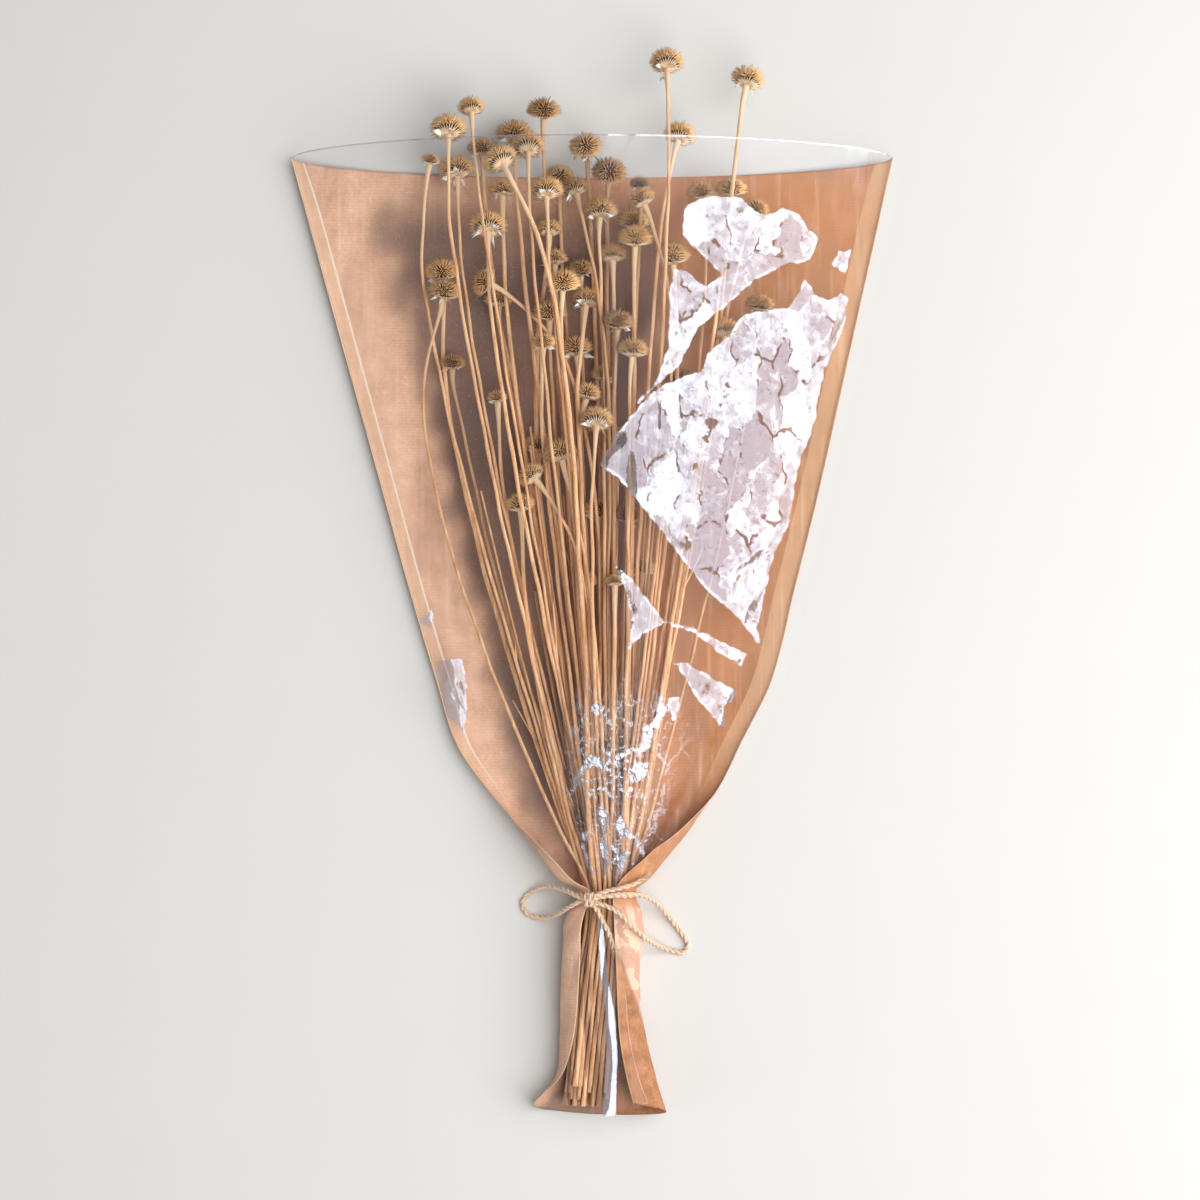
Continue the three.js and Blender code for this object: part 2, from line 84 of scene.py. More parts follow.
# ---- The twine's route, in metres from the middle of the tie ----
NECK = {"x": 0.0013, "z": 0.0159, "half_width": 0.0175, "half_height": 0.012}
TWINE_GAP = 0.0003  # kept between the twine and the sleeve
KNOT = (-0.0095, -0.0024, 0.0304)
LEFT_LOOP = (
    (-0.016, -0.0006, 0.028), (-0.023, 0.0024, 0.020), (-0.0354, 0.0042, 0.007),
    (-0.046, -0.0006, 0.0018), (-0.0496, -0.006, 0.0016), (-0.0468, -0.012, 0.0016),
    (-0.038, -0.0148, 0.0036), (-0.028, -0.0116, 0.014), (-0.021, -0.0066, 0.0244),
    (-0.015, -0.0036, 0.0286),
)
RIGHT_LOOP = (
    (-0.001, -0.0002, 0.0304), (0.008, 0.0008, 0.0298), (0.0155, 0.0008, 0.0268),
    (0.0225, -0.0004, 0.021), (0.029, -0.004, 0.012), (0.0356, -0.011, 0.0046),
    (0.043, -0.0204, 0.0018), (0.0496, -0.031, 0.0016), (0.0466, -0.0354, 0.0016),
    (0.0386, -0.034, 0.0028), (0.031, -0.0306, 0.0096), (0.024, -0.0256, 0.0214),
    (0.0165, -0.0186, 0.0284), (0.009, -0.011, 0.031), (0.001, -0.006, 0.031),
)
UP_TAIL = (
    (-0.001, 0.0024, 0.0314), (0.008, 0.0044, 0.0312), (0.0174, 0.0072, 0.0294), (0.0252, 0.011, 0.0266),
)
DOWN_TAIL = (
    (-0.005, -0.008, 0.0306), (-0.0014, -0.015, 0.0298), (0.0024, -0.0226, 0.0296),
    (0.0048, -0.0312, 0.0292),
)

# ---- Painted highlight patches: where the film is given a strong reflection of the lamp, in mm from the tie ----
PAINTED_HIGHLIGHT_PATCHES = {
    "upper": (
        (47, 408), (55, 412), (66, 414), (80, 413), (87, 406), (94, 403), (105, 407), (115, 404),
        (119, 396), (126, 391), (120, 377), (108, 375), (89, 366), (69, 348), (54, 336), (43, 314),
        (18, 291), (31, 306), (37, 324), (38, 360), (41, 372), (49, 369), (59, 360), (69, 367),
        (57, 379), (45, 391),
    ),
    "lower": (
        (-4, 256), (15, 284), (31, 301), (57, 311), (61, 322), (73, 332), (82, 345), (103, 348),
        (108, 349), (119, 367), (124, 357), (132, 354), (140, 359), (144, 356), (141, 340),
        (130, 312), (124, 283), (113, 253), (109, 224), (99, 201), (94, 180), (90, 159), (93, 146),
        (87, 156), (74, 169), (57, 185), (40, 207), (24, 228), (8, 248),
    ),
    "middle": ((4, 201), (12, 191), (17, 187), (35, 162), (20, 155), (14, 146), (16, 164), (12, 182)),
    "ribbon": ((36, 163), (51, 160), (68, 151), (84, 144), (80, 137), (66, 146), (52, 157), (37, 161)),
    "tail": (
        (39, 138), (47, 139), (77, 122), (76, 115), (70, 114), (71, 98), (64, 106), (53, 119), (42, 137),
    ),
    "mouth": ((134, 375), (138, 383), (146, 385), (142, 371)),
    "foot": (
        (-3.5, -11), (-0.8, -11), (-0.6, -22), (1.2, -48), (5.2, -70), (7, -94), (6.2, -131), (-1.2, -131),
        (0.9, -94), (0.3, -70), (-2.4, -48), (-3.8, -22),
    ),
    "left": ((-111, 164), (-102, 170), (-102, 158)),
    "left low": ((-101, 140), (-85, 141), (-82, 126), (-82, 108), (-83, 97), (-95, 108), (-98, 126)),
}

# Painted glints: places where the film's reflection is made strong along the creases where it is drawn in
# over the stems, in mm from the tie
PAINTED_NECK_GLINTS = (
    ((-6, 118), (0, 113), (-4, 108), (-8, 111)),
    ((-19, 69), (-13, 79), (-8, 85), (-1, 81), (7, 69), (0, 75), (-7, 78), (-12, 74)),
    ((11, 74), (18, 80), (26, 81), (24, 72), (17, 68)),
    ((33, 120), (36, 112), (31, 100), (27, 103), (31, 112)),
    ((22, 104), (28, 99), (26, 88), (18, 84), (22, 94)),
    ((36, 117), (44, 119), (41, 102), (38, 110)),
    ((-4, 54), (3, 49), (0, 38), (-3, 45)),
    ((4, 45), (9, 48), (14, 41), (9, 32), (8, 40)),
    ((-3, 32), (1, 34), (3, 20), (0, 12), (-1, 22)),
    ((9, 28), (13, 27), (10, 14), (7, 12)),
)

# ---- Daisies deep in the bunch: place of the head from the tie (mm), radius (mm), the CAD daisy
# whose stem theirs follows, and how much their head nods ----
DEEP_DAISIES = (
    ((-33.6, 398.4, 13), 8.0, "daisy_13", -20),
    ((-30.0, 381.0, 12), 7.6, "daisy_22", -10),
    ((-14.4, 375.0, 11), 8.0, "daisy_25", 15),
    ((-63.6, 356.4, 11), 8.4, "daisy_23", -10),
    ((-91.2, 318.6, 11), 7.8, "daisy_42", 5),
)


# ---- Settings ----
def colour_property(name, description, value):
    return FloatVectorProperty(
        name=name, description=description, default=value, size=4, min=0, max=1, subtype="COLOR")


def length_property(name, description, value):
    return FloatProperty(name=name, description=description, default=value, min=0, unit="LENGTH")


class SleeveSettings(PropertyGroup):
    """Sizes and colours of the paper and the film."""

    mesh_step: length_property("Mesh Step", "Distance between mesh rows", 0.0025)
    neck_step: length_property("Neck Step", "Distance between mesh rows near the tie", 0.0014)
    paper_thickness: length_property("Paper Thickness", "Thickness of the kraft paper", 0.00025)
    hem_width: length_property("Hem Width", "Width of the folded paper hem", 0.0085)
    crease_depth: length_property("Crease Depth", "Depth of the film's creases", 0.0011)
    pleat_depth: length_property("Pleat Depth", "Depth of the gathers beside the tie", 0.0016)
    shade: FloatProperty(
        name="Shade", description="How dark the paper is under the stems", default=0.86, min=0, max=1,
        subtype="FACTOR")
    paper_left: colour_property("Paper, Left", "Colour of the paper on the left", (0.93, 0.57, 0.39, 1))
    paper_right: colour_property(
        "Paper, Right", "Colour of the paper on the right", (0.60, 0.265, 0.11, 1))
    paper_dark: colour_property("Paper, Dark", "Darker flecks in the paper", (0.46, 0.18, 0.06, 1))


class DaisySettings(PropertyGroup):
    """Sizes and colours of the dried daisies."""

    bristles: IntProperty(name="Bristles", description="Bristles on a seed head", default=260, min=20)
    cup_ribs: IntProperty(name="Cup Ribs", description="Ribs under a seed head", default=30, min=3)
    head_fullness: FloatProperty(
        name="Head Fullness", description="Size of the finished head against the CAD one", default=1.06,
        min=0.5)
    bare_stems: IntProperty(
        name="Bare Stems", description="Stems that have lost their heads", default=52, min=0)
    stem_radius: length_property("Stem Radius", "Usual radius of a stem", 0.0013)
    flare_radius: length_property("Flare Radius", "Radius of a stem just under its head", 0.0023)
    flare_length: length_property("Flare Length", "How far the flare runs down the stem", 0.02)
    straw: colour_property("Straw", "Pale colour of the stems", (1.0, 0.64, 0.37, 1))
    amber: colour_property("Amber", "Deep colour of the stems", (0.60, 0.265, 0.10, 1))
    tip: colour_property("Bristle Tips", "Colour of the bristle tips", (1.0, 0.565, 0.22, 1))
    # The dark core, and painted shade between the bristles
    root: colour_property("Bristle Roots", "Colour between the bristles", (0.085, 0.036, 0.016, 1))


class TwineSettings(PropertyGroup):
    """Sizes and colours of the jute twine."""

    diameter: length_property("Diameter", "Diameter of the whole twine", 0.003)
    lay_length: length_property("Lay Length", "Length of one full twist", 0.0085)
    fibres: IntProperty(name="Loose Fibres", description="Fibres that stand off it", default=900, min=0)
    light: colour_property("Light Jute", "Pale colour of the jute", (1.0, 0.77, 0.55, 1))
    dark: colour_property("Dark Jute", "Dark colour of the jute", (0.66, 0.45, 0.29, 1))


class StageSettings(PropertyGroup):
    """Floor, lamps and camera."""

    camera_height: length_property("Camera Height", "Height of the camera over the table", 3.0)
    view_width: length_property("View Width", "Width of table in view", 0.72)
    lamp_size: length_property("Lamp Size", "Side of the main soft lamp", 2.4)
    lamp_distance: length_property("Lamp Distance", "From the bunch to the main lamp", 1.8)
    lamp_tilt: FloatProperty(
        name="Lamp Tilt", description="Angle of the main lamp from straight up", default=math.radians(36),
        subtype="ANGLE")
    floor: colour_property("Floor", "Colour of the floor", (0.69, 0.675, 0.65, 1))


# ---- Curves and tubes ----
def smooth_path(points, step):
    """A smooth line through the points, with places about `step` apart."""
    points = np.asarray(points, float)
    ends = 2 * points[[0, -1]] - points[[1, -2]]
    points = np.vstack([ends[:1], points, ends[1:]])
    line = []
    for p0, p1, p2, p3 in zip(points, points[1:], points[2:], points[3:]):
        spans = [b - a for a, b in ((p0, p1), (p1, p2), (p2, p3))]
        k1, k2, k3 = np.cumsum([np.sqrt(np.linalg.norm(span)) for span in spans])
        count = max(int(np.linalg.norm(p2 - p1) / step * 2), 2)
        for t in np.linspace(k1, k2, count, endpoint=False):
            a1 = p0 * (k1 - t) / k1 + p1 * t / k1
            a2 = p1 * (k2 - t) / (k2 - k1) + p2 * (t - k1) / (k2 - k1)
            a3 = p2 * (k3 - t) / (k3 - k2) + p3 * (t - k2) / (k3 - k2)
            b1 = a1 * (k2 - t) / k2 + a2 * t / k2
            b2 = a2 * (k3 - t) / (k3 - k1) + a3 * (t - k1) / (k3 - k1)
            line.append(b1 * (k2 - t) / (k2 - k1) + b2 * (t - k1) / (k2 - k1))
    line.append(points[-2])
    return even_path(np.array(line), step)


def even_path(line, step):
    """The same line with its places evenly spaced, about `step` apart."""
    run = np.concatenate([[0], np.cumsum(np.linalg.norm(np.diff(line, axis=0), axis=1))])
    places = np.linspace(0, run[-1], max(int(round(run[-1] / step)), 2) + 1)
    return np.column_stack([np.interp(places, run, line[:, k]) for k in range(3)])


def path_length(line):
    return float(np.linalg.norm(np.diff(line, axis=0), axis=1).sum())


def cross_frames(line):
    """Two directions across a line at each of its places, turning as little as they can."""
    along = np.gradient(line, axis=0)
    along /= np.linalg.norm(along, axis=1)[:, None]
    side = np.cross(along[0], (0.3, 0.2, 1.0))
    first = np.empty_like(line)
    for i, way in enumerate(along):
        side = side - way * side.dot(way)
        side = side / np.linalg.norm(side)
        first[i] = side
    return first, np.cross(along, first)


def tube(line, radii, sides):
    """Corners and faces of a closed tube round a line."""
    first, second = cross_frames(line)
    corners = []
    for place, a, b, radius in zip(line, first, second, radii):
        for k in range(sides):
            angle = 2 * math.pi * k / sides
            corners.append(place + radius * (a * math.cos(angle) + b * math.sin(angle)))
    faces = []
    for i in range(len(line) - 1):
        for k in range(sides):
            here, after = i * sides + k, i * sides + (k + 1) % sides
            faces.append((here, after, after + sides, here + sides))
    last = (len(line) - 1) * sides
    faces.append(tuple(reversed(range(sides))))
    faces.append(tuple(range(last, last + sides)))
    return corners, faces


def join_shapes(shapes):
    """Corners and faces of several shapes as one."""
    corners, faces = [], []
    for shape_corners, shape_faces in shapes:
        start = len(corners)
        corners.extend(shape_corners)
        faces.extend(tuple(start + k for k in face) for face in shape_faces)
    return corners, faces


def new_object(name, corners, faces, edges=()):
    mesh = bpy.data.meshes.new(name)
    mesh.from_pydata([tuple(c) for c in corners], edges, faces)
    mesh.validate()
    piece = bpy.data.objects.new(name, mesh)
    bpy.context.scene.collection.objects.link(piece)
    return piece


def outward(piece):
    """Turns all faces of a closed piece to point out."""
    shape = bmesh.new()
    shape.from_mesh(piece.data)
    bmesh.ops.recalc_face_normals(shape, faces=shape.faces)
    shape.to_mesh(piece.data)
    shape.free()


def store(mesh, name, values):
    """Keeps a number on each corner of a mesh."""
    layer = mesh.attributes.new(name, "FLOAT", "POINT")
    layer.data.foreach_set("value", np.asarray(values, np.float32).ravel())


def finish_piece(piece, slot, material, *nodes):
    """Gives a piece its finish and its place in the record, in front of the CAD nodes it stands for."""
    piece.data.materials.clear()
    piece.data.materials.append(material)
    piece.data.polygons.foreach_set("use_smooth", [True] * len(piece.data.polygons))
    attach(piece, "root")
    if nodes:
        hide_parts(*nodes)


# ---- Node trees ----
class Nodes:
    """Adds nodes to a node tree and joins them up."""

    def __init__(self, tree):
        self.tree = tree

    def add(self, kind, feeds=None, **settings):
        node = self.tree.nodes.new(kind)
        for name, value in settings.items():
            setattr(node, name, value)
        for socket, value in (feeds or {}).items():
            self.feed(node.inputs[socket], value)
        return node

    def feed(self, socket, value):
        if isinstance(value, bpy.types.Node):
            value = value.outputs[0]
        if isinstance(value, bpy.types.NodeSocket):
            self.tree.links.new(value, socket)
        else:
            socket.default_value = value

    def maths(self, operation, a, b=0.0):
        return self.add("ShaderNodeMath", {0: a, 1: b}, operation=operation).outputs[0]

    def plus(self, a, b):
        return self.maths("ADD", a, b)

    def minus(self, a, b):
        return self.maths("SUBTRACT", a, b)

    def times(self, a, b):
        return self.maths("MULTIPLY", a, b)

    def largest(self, a, b):
        return self.maths("MAXIMUM", a, b)

    def vectors(self, operation, a, b=(0, 0, 0)):
        return self.add("ShaderNodeVectorMath", {0: a, 1: b}, operation=operation).outputs[0]

    def scaled(self, vector, scale):
        node = self.add("ShaderNodeVectorMath", {0: vector, "Scale": scale}, operation="SCALE")
        return node.outputs[0]

    def stretched(self, vector, x, y, z):
        """The vector with its parts scaled: less than 1 draws a pattern out that way."""
        return self.vectors("MULTIPLY", vector, (x, y, z))

    def xyz(self, x, y, z):
        return self.add("ShaderNodeCombineXYZ", {0: x, 1: y, 2: z}).outputs[0]

    def axis(self, vector, index):
        return self.add("ShaderNodeSeparateXYZ", {0: vector}).outputs[index]

    def noise(self, vector, scale, detail, distortion=0.0):
        return self.add("ShaderNodeTexNoise", {
            "Vector": vector, "Scale": scale, "Detail": detail, "Distortion": distortion})

    def ramp(self, value, low, high, out_low=0.0, out_high=1.0):
        """A smooth step from one value to another."""
        node = self.add("ShaderNodeMapRange", {0: value, 1: low, 2: high, 3: out_low, 4: out_high})
        node.interpolation_type = "SMOOTHSTEP"
        return node.outputs[0]

    def mix(self, share, a, b, blend="MIX"):
        node = self.add("ShaderNodeMix", data_type="RGBA", blend_type=blend)
        for index, value in ((0, share), (6, a), (7, b)):
            self.feed(node.inputs[index], value)
        return node.outputs[2]

    def attribute(self, name):
        return self.add("ShaderNodeAttribute", attribute_name=name).outputs["Fac"]


def new_group(name, kind, sockets_in, sockets_out):
    """A node group with named sockets: its Nodes, its input node and its output node."""
    tree = bpy.data.node_groups.new(name, kind)
    for direction, sockets in (("INPUT", sockets_in), ("OUTPUT", sockets_out)):
        for label, socket_type, value in sockets:
            socket = tree.interface.new_socket(label, in_out=direction, socket_type=socket_type)
            if value is not None:
                socket.default_value = value
    nodes = Nodes(tree)
    return nodes, nodes.add("NodeGroupInput"), nodes.add("NodeGroupOutput")


def apply_tree(piece, tree, values):
    """Runs a Geometry Nodes tree on a piece and keeps the result as its plain mesh."""
    modifier = piece.modifiers.new("build", "NODES")
    modifier.node_group = tree
    for item in tree.interface.items_tree:
        if item.item_type == "SOCKET" and item.in_out == "INPUT" and item.name in values:
            modifier[item.identifier] = values[item.name]
    depsgraph = bpy.context.evaluated_depsgraph_get()
    shape = piece.evaluated_get(depsgraph)
    mesh = bpy.data.meshes.new_from_object(shape, preserve_all_data_layers=True, depsgraph=depsgraph)
    piece.modifiers.remove(modifier)
    piece.data = mesh


def marked(tree, geometry, name, value):
    """The geometry with a value kept on its corners."""
    return tree.add("GeometryNodeStoreNamedAttribute", {"Geometry": geometry, "Name": name, "Value": value})


def stem_group():
    """Turns a line with a girth into a stem."""
    tree, given, result = new_group(
        "Stem From Line", "GeometryNodeTree",
        [("Line", "NodeSocketGeometry", None), ("Sides", "NodeSocketInt", 7)],
        [("Stem", "NodeSocketGeometry", None)])
    curve = tree.add("GeometryNodeMeshToCurve", {0: given.outputs["Line"]})
    girth = tree.add("GeometryNodeInputNamedAttribute", {"Name": "girth"}, data_type="FLOAT").outputs[0]
    sized = tree.add("GeometryNodeSetCurveRadius", {"Curve": curve, "Radius": girth})
    sides = given.outputs["Sides"]
    ring = tree.add("GeometryNodeCurvePrimitiveCircle", {"Resolution": sides, "Radius": 1.0})
    stem = tree.add("GeometryNodeCurveToMesh", {"Curve": sized, "Profile Curve": ring, "Fill Caps": True})
    if "Scale" in stem.inputs:
        tree.feed(stem.inputs["Scale"], girth)
    tree.feed(result.inputs["Stem"], marked(tree, stem, "part", float(STEM)))
    return tree.tree


def spike(tree, sides, part):
    """A slender closed spike one metre long, which knows how far along it each corner is."""
    cone = tree.add("GeometryNodeMeshCone", {
        "Vertices": sides, "Radius Top": 0.0, "Radius Bottom": 1.0, "Depth": 1.0})
    height = tree.axis(tree.add("GeometryNodeInputPosition"), 2)
    return marked(tree, marked(tree, cone.outputs["Mesh"], "along", height), "part", float(part))


def scatter(tree, count, place, way, size, shape, seed):
    """Spikes at places, each pointing its own way, each with its own shade."""
    points = tree.add("GeometryNodePoints", {"Count": count, "Position": place})
    turn = tree.add("FunctionNodeAlignRotationToVector", {"Vector": way}, axis="Z")
    copies = tree.add("GeometryNodeInstanceOnPoints", {
        "Points": points, "Instance": shape, "Rotation": turn, "Scale": size})
    shade = tree.add("FunctionNodeRandomValue", {"Seed": seed}, data_type="FLOAT")
    return tree.add("GeometryNodeStoreNamedAttribute", {
        "Geometry": copies, "Name": "shade", "Value": shade.outputs[1]}, domain="INSTANCE")


def random_number(tree, low, high, seed):
    """A random number of its own for each spike."""
    node = tree.add("FunctionNodeRandomValue", {2: low, 3: high, "Seed": seed}, data_type="FLOAT")
    return node.outputs[1]


def head_group():
    """A seed head standing on the origin, facing up: bristles on a dark dome, ribs and dry petals.

    Its proportions are shares of its radius, where nothing else is said."""
    golden_turn = math.pi * (3 - math.sqrt(5))
    dome_reach = 1.34  # how far round the dome bristles grow: 0 none, 1 to its equator, 2 all round
    dome_middle, dome_height = 0.36, 0.62
    bristle_foot, bristle_lengths, bristle_widths, bristle_lean = 0.46, (0.5, 0.66), (0.052, 0.074), 0.09
    core_width, core_height = 0.62, 0.42
    rib_reach, rib_width_share, rib_rises = 0.97, 0.062, (0.16, 0.3)
    rib_start, rib_inset, rib_drop = 0.0013, 0.0016, 0.0004  # metres, at the stem
    petal_foot, petal_widths, petal_lengths, petal_droops = 0.42, (0.1, 0.26), (0.35, 0.8), (-1.6, 0.1)
    petal_thickness = 0.00012  # metres
    tree, given, result = new_group(
        "Seed Head", "GeometryNodeTree",
        [("Radius", "NodeSocketFloat", 0.01), ("Bristles", "NodeSocketInt", 500),
         ("Cup Ribs", "NodeSocketInt", 26), ("Petals", "NodeSocketInt", 0), ("Seed", "NodeSocketInt", 1)],
        [("Head", "NodeSocketGeometry", None)])
    radius = given.outputs["Radius"]
    seed = given.outputs["Seed"]
    index = tree.add("GeometryNodeInputIndex").outputs[0]
    middle = tree.xyz(0.0, 0.0, tree.times(radius, dome_middle))

    share = tree.maths("DIVIDE", tree.plus(index, 0.5), given.outputs["Bristles"])
    rise = tree.minus(1.0, tree.times(share, dome_reach))
    out = tree.maths("SQRT", tree.minus(1.0, tree.times(rise, rise)))
    turn = tree.times(index, golden_turn)
    way = tree.xyz(
        tree.times(out, tree.maths("COSINE", turn)),
        tree.times(out, tree.maths("SINE", turn)),
        tree.times(rise, dome_height))
    foot = tree.vectors("ADD", middle, tree.scaled(way, tree.times(radius, bristle_foot)))
    lean = tree.add("FunctionNodeRandomValue", {
        0: (-bristle_lean,) * 3, 1: (bristle_lean,) * 3, "Seed": seed}, data_type="FLOAT_VECTOR").outputs[0]
    length = tree.times(radius, random_number(tree, *bristle_lengths, seed))
    width = tree.times(radius, random_number(tree, *bristle_widths, seed))
    bristles = scatter(
        tree, given.outputs["Bristles"], foot, tree.vectors("ADD", way, lean),
        tree.xyz(width, width, length), spike(tree, 4, BRISTLE), seed)

    core = tree.add("GeometryNodeMeshUVSphere", {"Segments": 16, "Rings": 9, "Radius": 1.0})
    wide = tree.times(radius, core_width)
    core_place = tree.add("GeometryNodeTransform", {
        "Geometry": core.outputs["Mesh"], "Translation": middle,
        "Scale": tree.xyz(wide, wide, tree.times(radius, core_height))})
    core_part = marked(tree, core_place, "part", float(CORE))

    rib_turn = tree.times(tree.maths("DIVIDE", index, given.outputs["Cup Ribs"]), 2 * math.pi)
    round_way = tree.xyz(tree.maths("COSINE", rib_turn), tree.maths("SINE", rib_turn), 0.0)
    rib_out = tree.minus(tree.times(radius, rib_reach), rib_inset)
    rib_rise = tree.times(radius, random_number(tree, *rib_rises, seed))
    rib_way = tree.vectors("ADD", tree.scaled(round_way, rib_out), tree.xyz(0.0, 0.0, rib_rise))
    rib_length = tree.add("ShaderNodeVectorMath", {0: rib_way}, operation="LENGTH").outputs["Value"]
    rib_width = tree.times(radius, rib_width_share)
    rib_foot = tree.vectors("ADD", tree.scaled(round_way, rib_start), (0, 0, -rib_drop))
    ribs = scatter(
        tree, given.outputs["Cup Ribs"], rib_foot, rib_way, tree.xyz(rib_width, rib_width, rib_length),
        spike(tree, 4, RIB), seed)

    petal_turn = random_number(tree, 0.0, 2 * math.pi, tree.plus(seed, 7))
    petal_round = tree.xyz(tree.maths("COSINE", petal_turn), tree.maths("SINE", petal_turn), 0.0)
    droop = random_number(tree, *petal_droops, seed)
    petal_way = tree.vectors("ADD", petal_round, tree.xyz(0.0, 0.0, droop))
    petal_size = tree.xyz(
        tree.times(radius, random_number(tree, *petal_widths, seed)), petal_thickness,
        tree.times(radius, random_number(tree, *petal_lengths, tree.plus(seed, 3))))
    petals = scatter(
        tree, given.outputs["Petals"], tree.scaled(petal_round, tree.times(radius, petal_foot)),
        petal_way, petal_size, spike(tree, 6, PETAL), seed)

    whole = tree.add("GeometryNodeJoinGeometry")
    for shape in (bristles, core_part, ribs, petals):
        tree.tree.links.new(shape.outputs[0], whole.inputs[0])
    tree.feed(result.inputs["Head"], whole)
    return tree.tree


def daisy_tree(stem, head, material):
    """A stem with a seed head set on its top."""
    tree, given, result = new_group(
        "Dried Daisy", "GeometryNodeTree",
        [("Line", "NodeSocketGeometry", None), ("Head Place", "NodeSocketVector", None),
         ("Head Way", "NodeSocketVector", None), ("Head Radius", "NodeSocketFloat", 0.01),
         ("Bristles", "NodeSocketInt", 500), ("Cup Ribs", "NodeSocketInt", 26),
         ("Petals", "NodeSocketInt", 0), ("Seed", "NodeSocketInt", 1), ("Tone", "NodeSocketFloat", 0.5)],
        [("Daisy", "NodeSocketGeometry", None)])
    stalk = tree.add("GeometryNodeGroup", node_tree=stem)
    tree.feed(stalk.inputs["Line"], given.outputs["Line"])
    bloom = tree.add("GeometryNodeGroup", node_tree=head)
    tree.feed(bloom.inputs["Radius"], given.outputs["Head Radius"])
    for name in ("Bristles", "Cup Ribs", "Petals", "Seed"):
        tree.feed(bloom.inputs[name], given.outputs[name])
    turn = tree.add("FunctionNodeAlignRotationToVector", {"Vector": given.outputs["Head Way"]}, axis="Z")
    placed = tree.add("GeometryNodeTransform", {
        "Geometry": bloom, "Translation": given.outputs["Head Place"], "Rotation": turn})
    whole = tree.add("GeometryNodeJoinGeometry")
    tree.tree.links.new(stalk.outputs[0], whole.inputs[0])
    tree.tree.links.new(placed.outputs[0], whole.inputs[0])
    real = tree.add("GeometryNodeRealizeInstances", {"Geometry": whole})
    toned = marked(tree, real, "tone", given.outputs["Tone"])
    finish = tree.add("GeometryNodeSetMaterial", {"Geometry": toned, "Material": material})
    tree.feed(result.inputs["Daisy"], finish)
    return tree.tree


def twig_tree(stem, material):
    """Bare twigs: stems with no head."""
    tree, given, result = new_group(
        "Bare Twigs", "GeometryNodeTree", [("Line", "NodeSocketGeometry", None)],
        [("Twigs", "NodeSocketGeometry", None)])
    stalk = tree.add("GeometryNodeGroup", node_tree=stem)
    tree.feed(stalk.inputs["Line"], given.outputs["Line"])
    whole = tree.add("GeometryNodeRealizeInstances", {"Geometry": stalk})
    finish = tree.add("GeometryNodeSetMaterial", {"Geometry": whole, "Material": material})
    tree.feed(result.inputs["Twigs"], finish)
    return tree.tree


# ---- Shared shader effects ----
def mottle_group():
    """Soft uneven colour: two sizes of blotch between two colours."""
    name = "Mottle"
    if name in bpy.data.node_groups:
        return bpy.data.node_groups[name]
    fine_size, large_share, spread_out = 7.0, 0.62, 3.0
    tree, given, result = new_group(
        name, "ShaderNodeTree",
        [("Light", "NodeSocketColor", (1, 1, 1, 1)), ("Dark", "NodeSocketColor", (0, 0, 0, 1)),
         ("Size", "NodeSocketFloat", 60.0), ("Contrast", "NodeSocketFloat", 1.0),
         ("Vector", "NodeSocketVector", None)],
        [("Colour", "NodeSocketColor", None), ("Mask", "NodeSocketFloat", None)])
    size = given.outputs["Size"]
    vector = given.outputs["Vector"]
    large = tree.noise(vector, size, 5.0)
    fine = tree.noise(vector, tree.times(size, fine_size), 3.0)
    both = tree.plus(tree.times(large, large_share), tree.times(fine, 1 - large_share))
    spread = tree.times(tree.minus(both, 0.5), given.outputs["Contrast"])
    share = tree.add("ShaderNodeClamp", {0: tree.plus(tree.times(spread, spread_out), 0.5)})
    colour = tree.mix(share.outputs[0], given.outputs["Dark"], given.outputs["Light"])
    tree.feed(result.inputs["Colour"], colour)
    tree.feed(result.inputs["Mask"], share)
    return tree.tree


def mottle(nodes, light, dark, size, contrast, vector):
    """Places the mottle effect: its colour and its mask."""
    group = nodes.add("ShaderNodeGroup", node_tree=mottle_group())
    values = {"Light": light, "Dark": dark, "Size": size, "Contrast": contrast, "Vector": vector}
    for name, value in values.items():
        nodes.feed(group.inputs[name], value)
    return group.outputs["Colour"], group.outputs["Mask"]


def crumple_group():
    """Crumpled film or paper: its crease lines and its facets as masks, and its height."""
    name = "Crumple"
    if name in bpy.data.node_groups:
        return bpy.data.node_groups[name]
    drift_reach, seen_size, drift_height = 0.022, 1.5, 0.6
    tree, given, result = new_group(
        name, "ShaderNodeTree",
        [("Vector", "NodeSocketVector", None), ("Size", "NodeSocketFloat", 60.0)],
        [(label, "NodeSocketFloat", None) for label in ("Line", "Facet", "Height")])
    vector = given.outputs["Vector"]
    size = given.outputs["Size"]
    drift = tree.noise(vector, size, 4.0)
    shift = tree.scaled(tree.vectors("SUBTRACT", drift.outputs["Color"], (0.5, 0.5, 0.5)), drift_reach)
    moved = tree.stretched(tree.vectors("ADD", vector, shift), 1.0, 0.5, 0.25)
    edges = tree.add("ShaderNodeTexVoronoi", {"Vector": moved, "Scale": size}, feature="DISTANCE_TO_EDGE")
    cells = tree.add("ShaderNodeTexVoronoi", {"Vector": moved, "Scale": size}, feature="F1")
    seen = tree.noise(vector, tree.times(size, seen_size), 2.0)
    near = tree.ramp(edges.outputs["Distance"], 0.055, 0.02)
    facet = tree.add("ShaderNodeSeparateColor", {0: cells.outputs["Color"]}).outputs[0]
    tree.feed(result.inputs["Line"], tree.times(near, tree.ramp(seen, 0.50, 0.56)))
    tree.feed(result.inputs["Facet"], facet)
    height = tree.plus(cells.outputs["Distance"], tree.times(drift, drift_height))
    tree.feed(result.inputs["Height"], height)
    return tree.tree


def crumple(nodes, place, size):
    """Places the crumple effect, with about `size` facets in a metre."""
    group = nodes.add("ShaderNodeGroup", {"Vector": place, "Size": size}, node_tree=crumple_group())
    return group.outputs


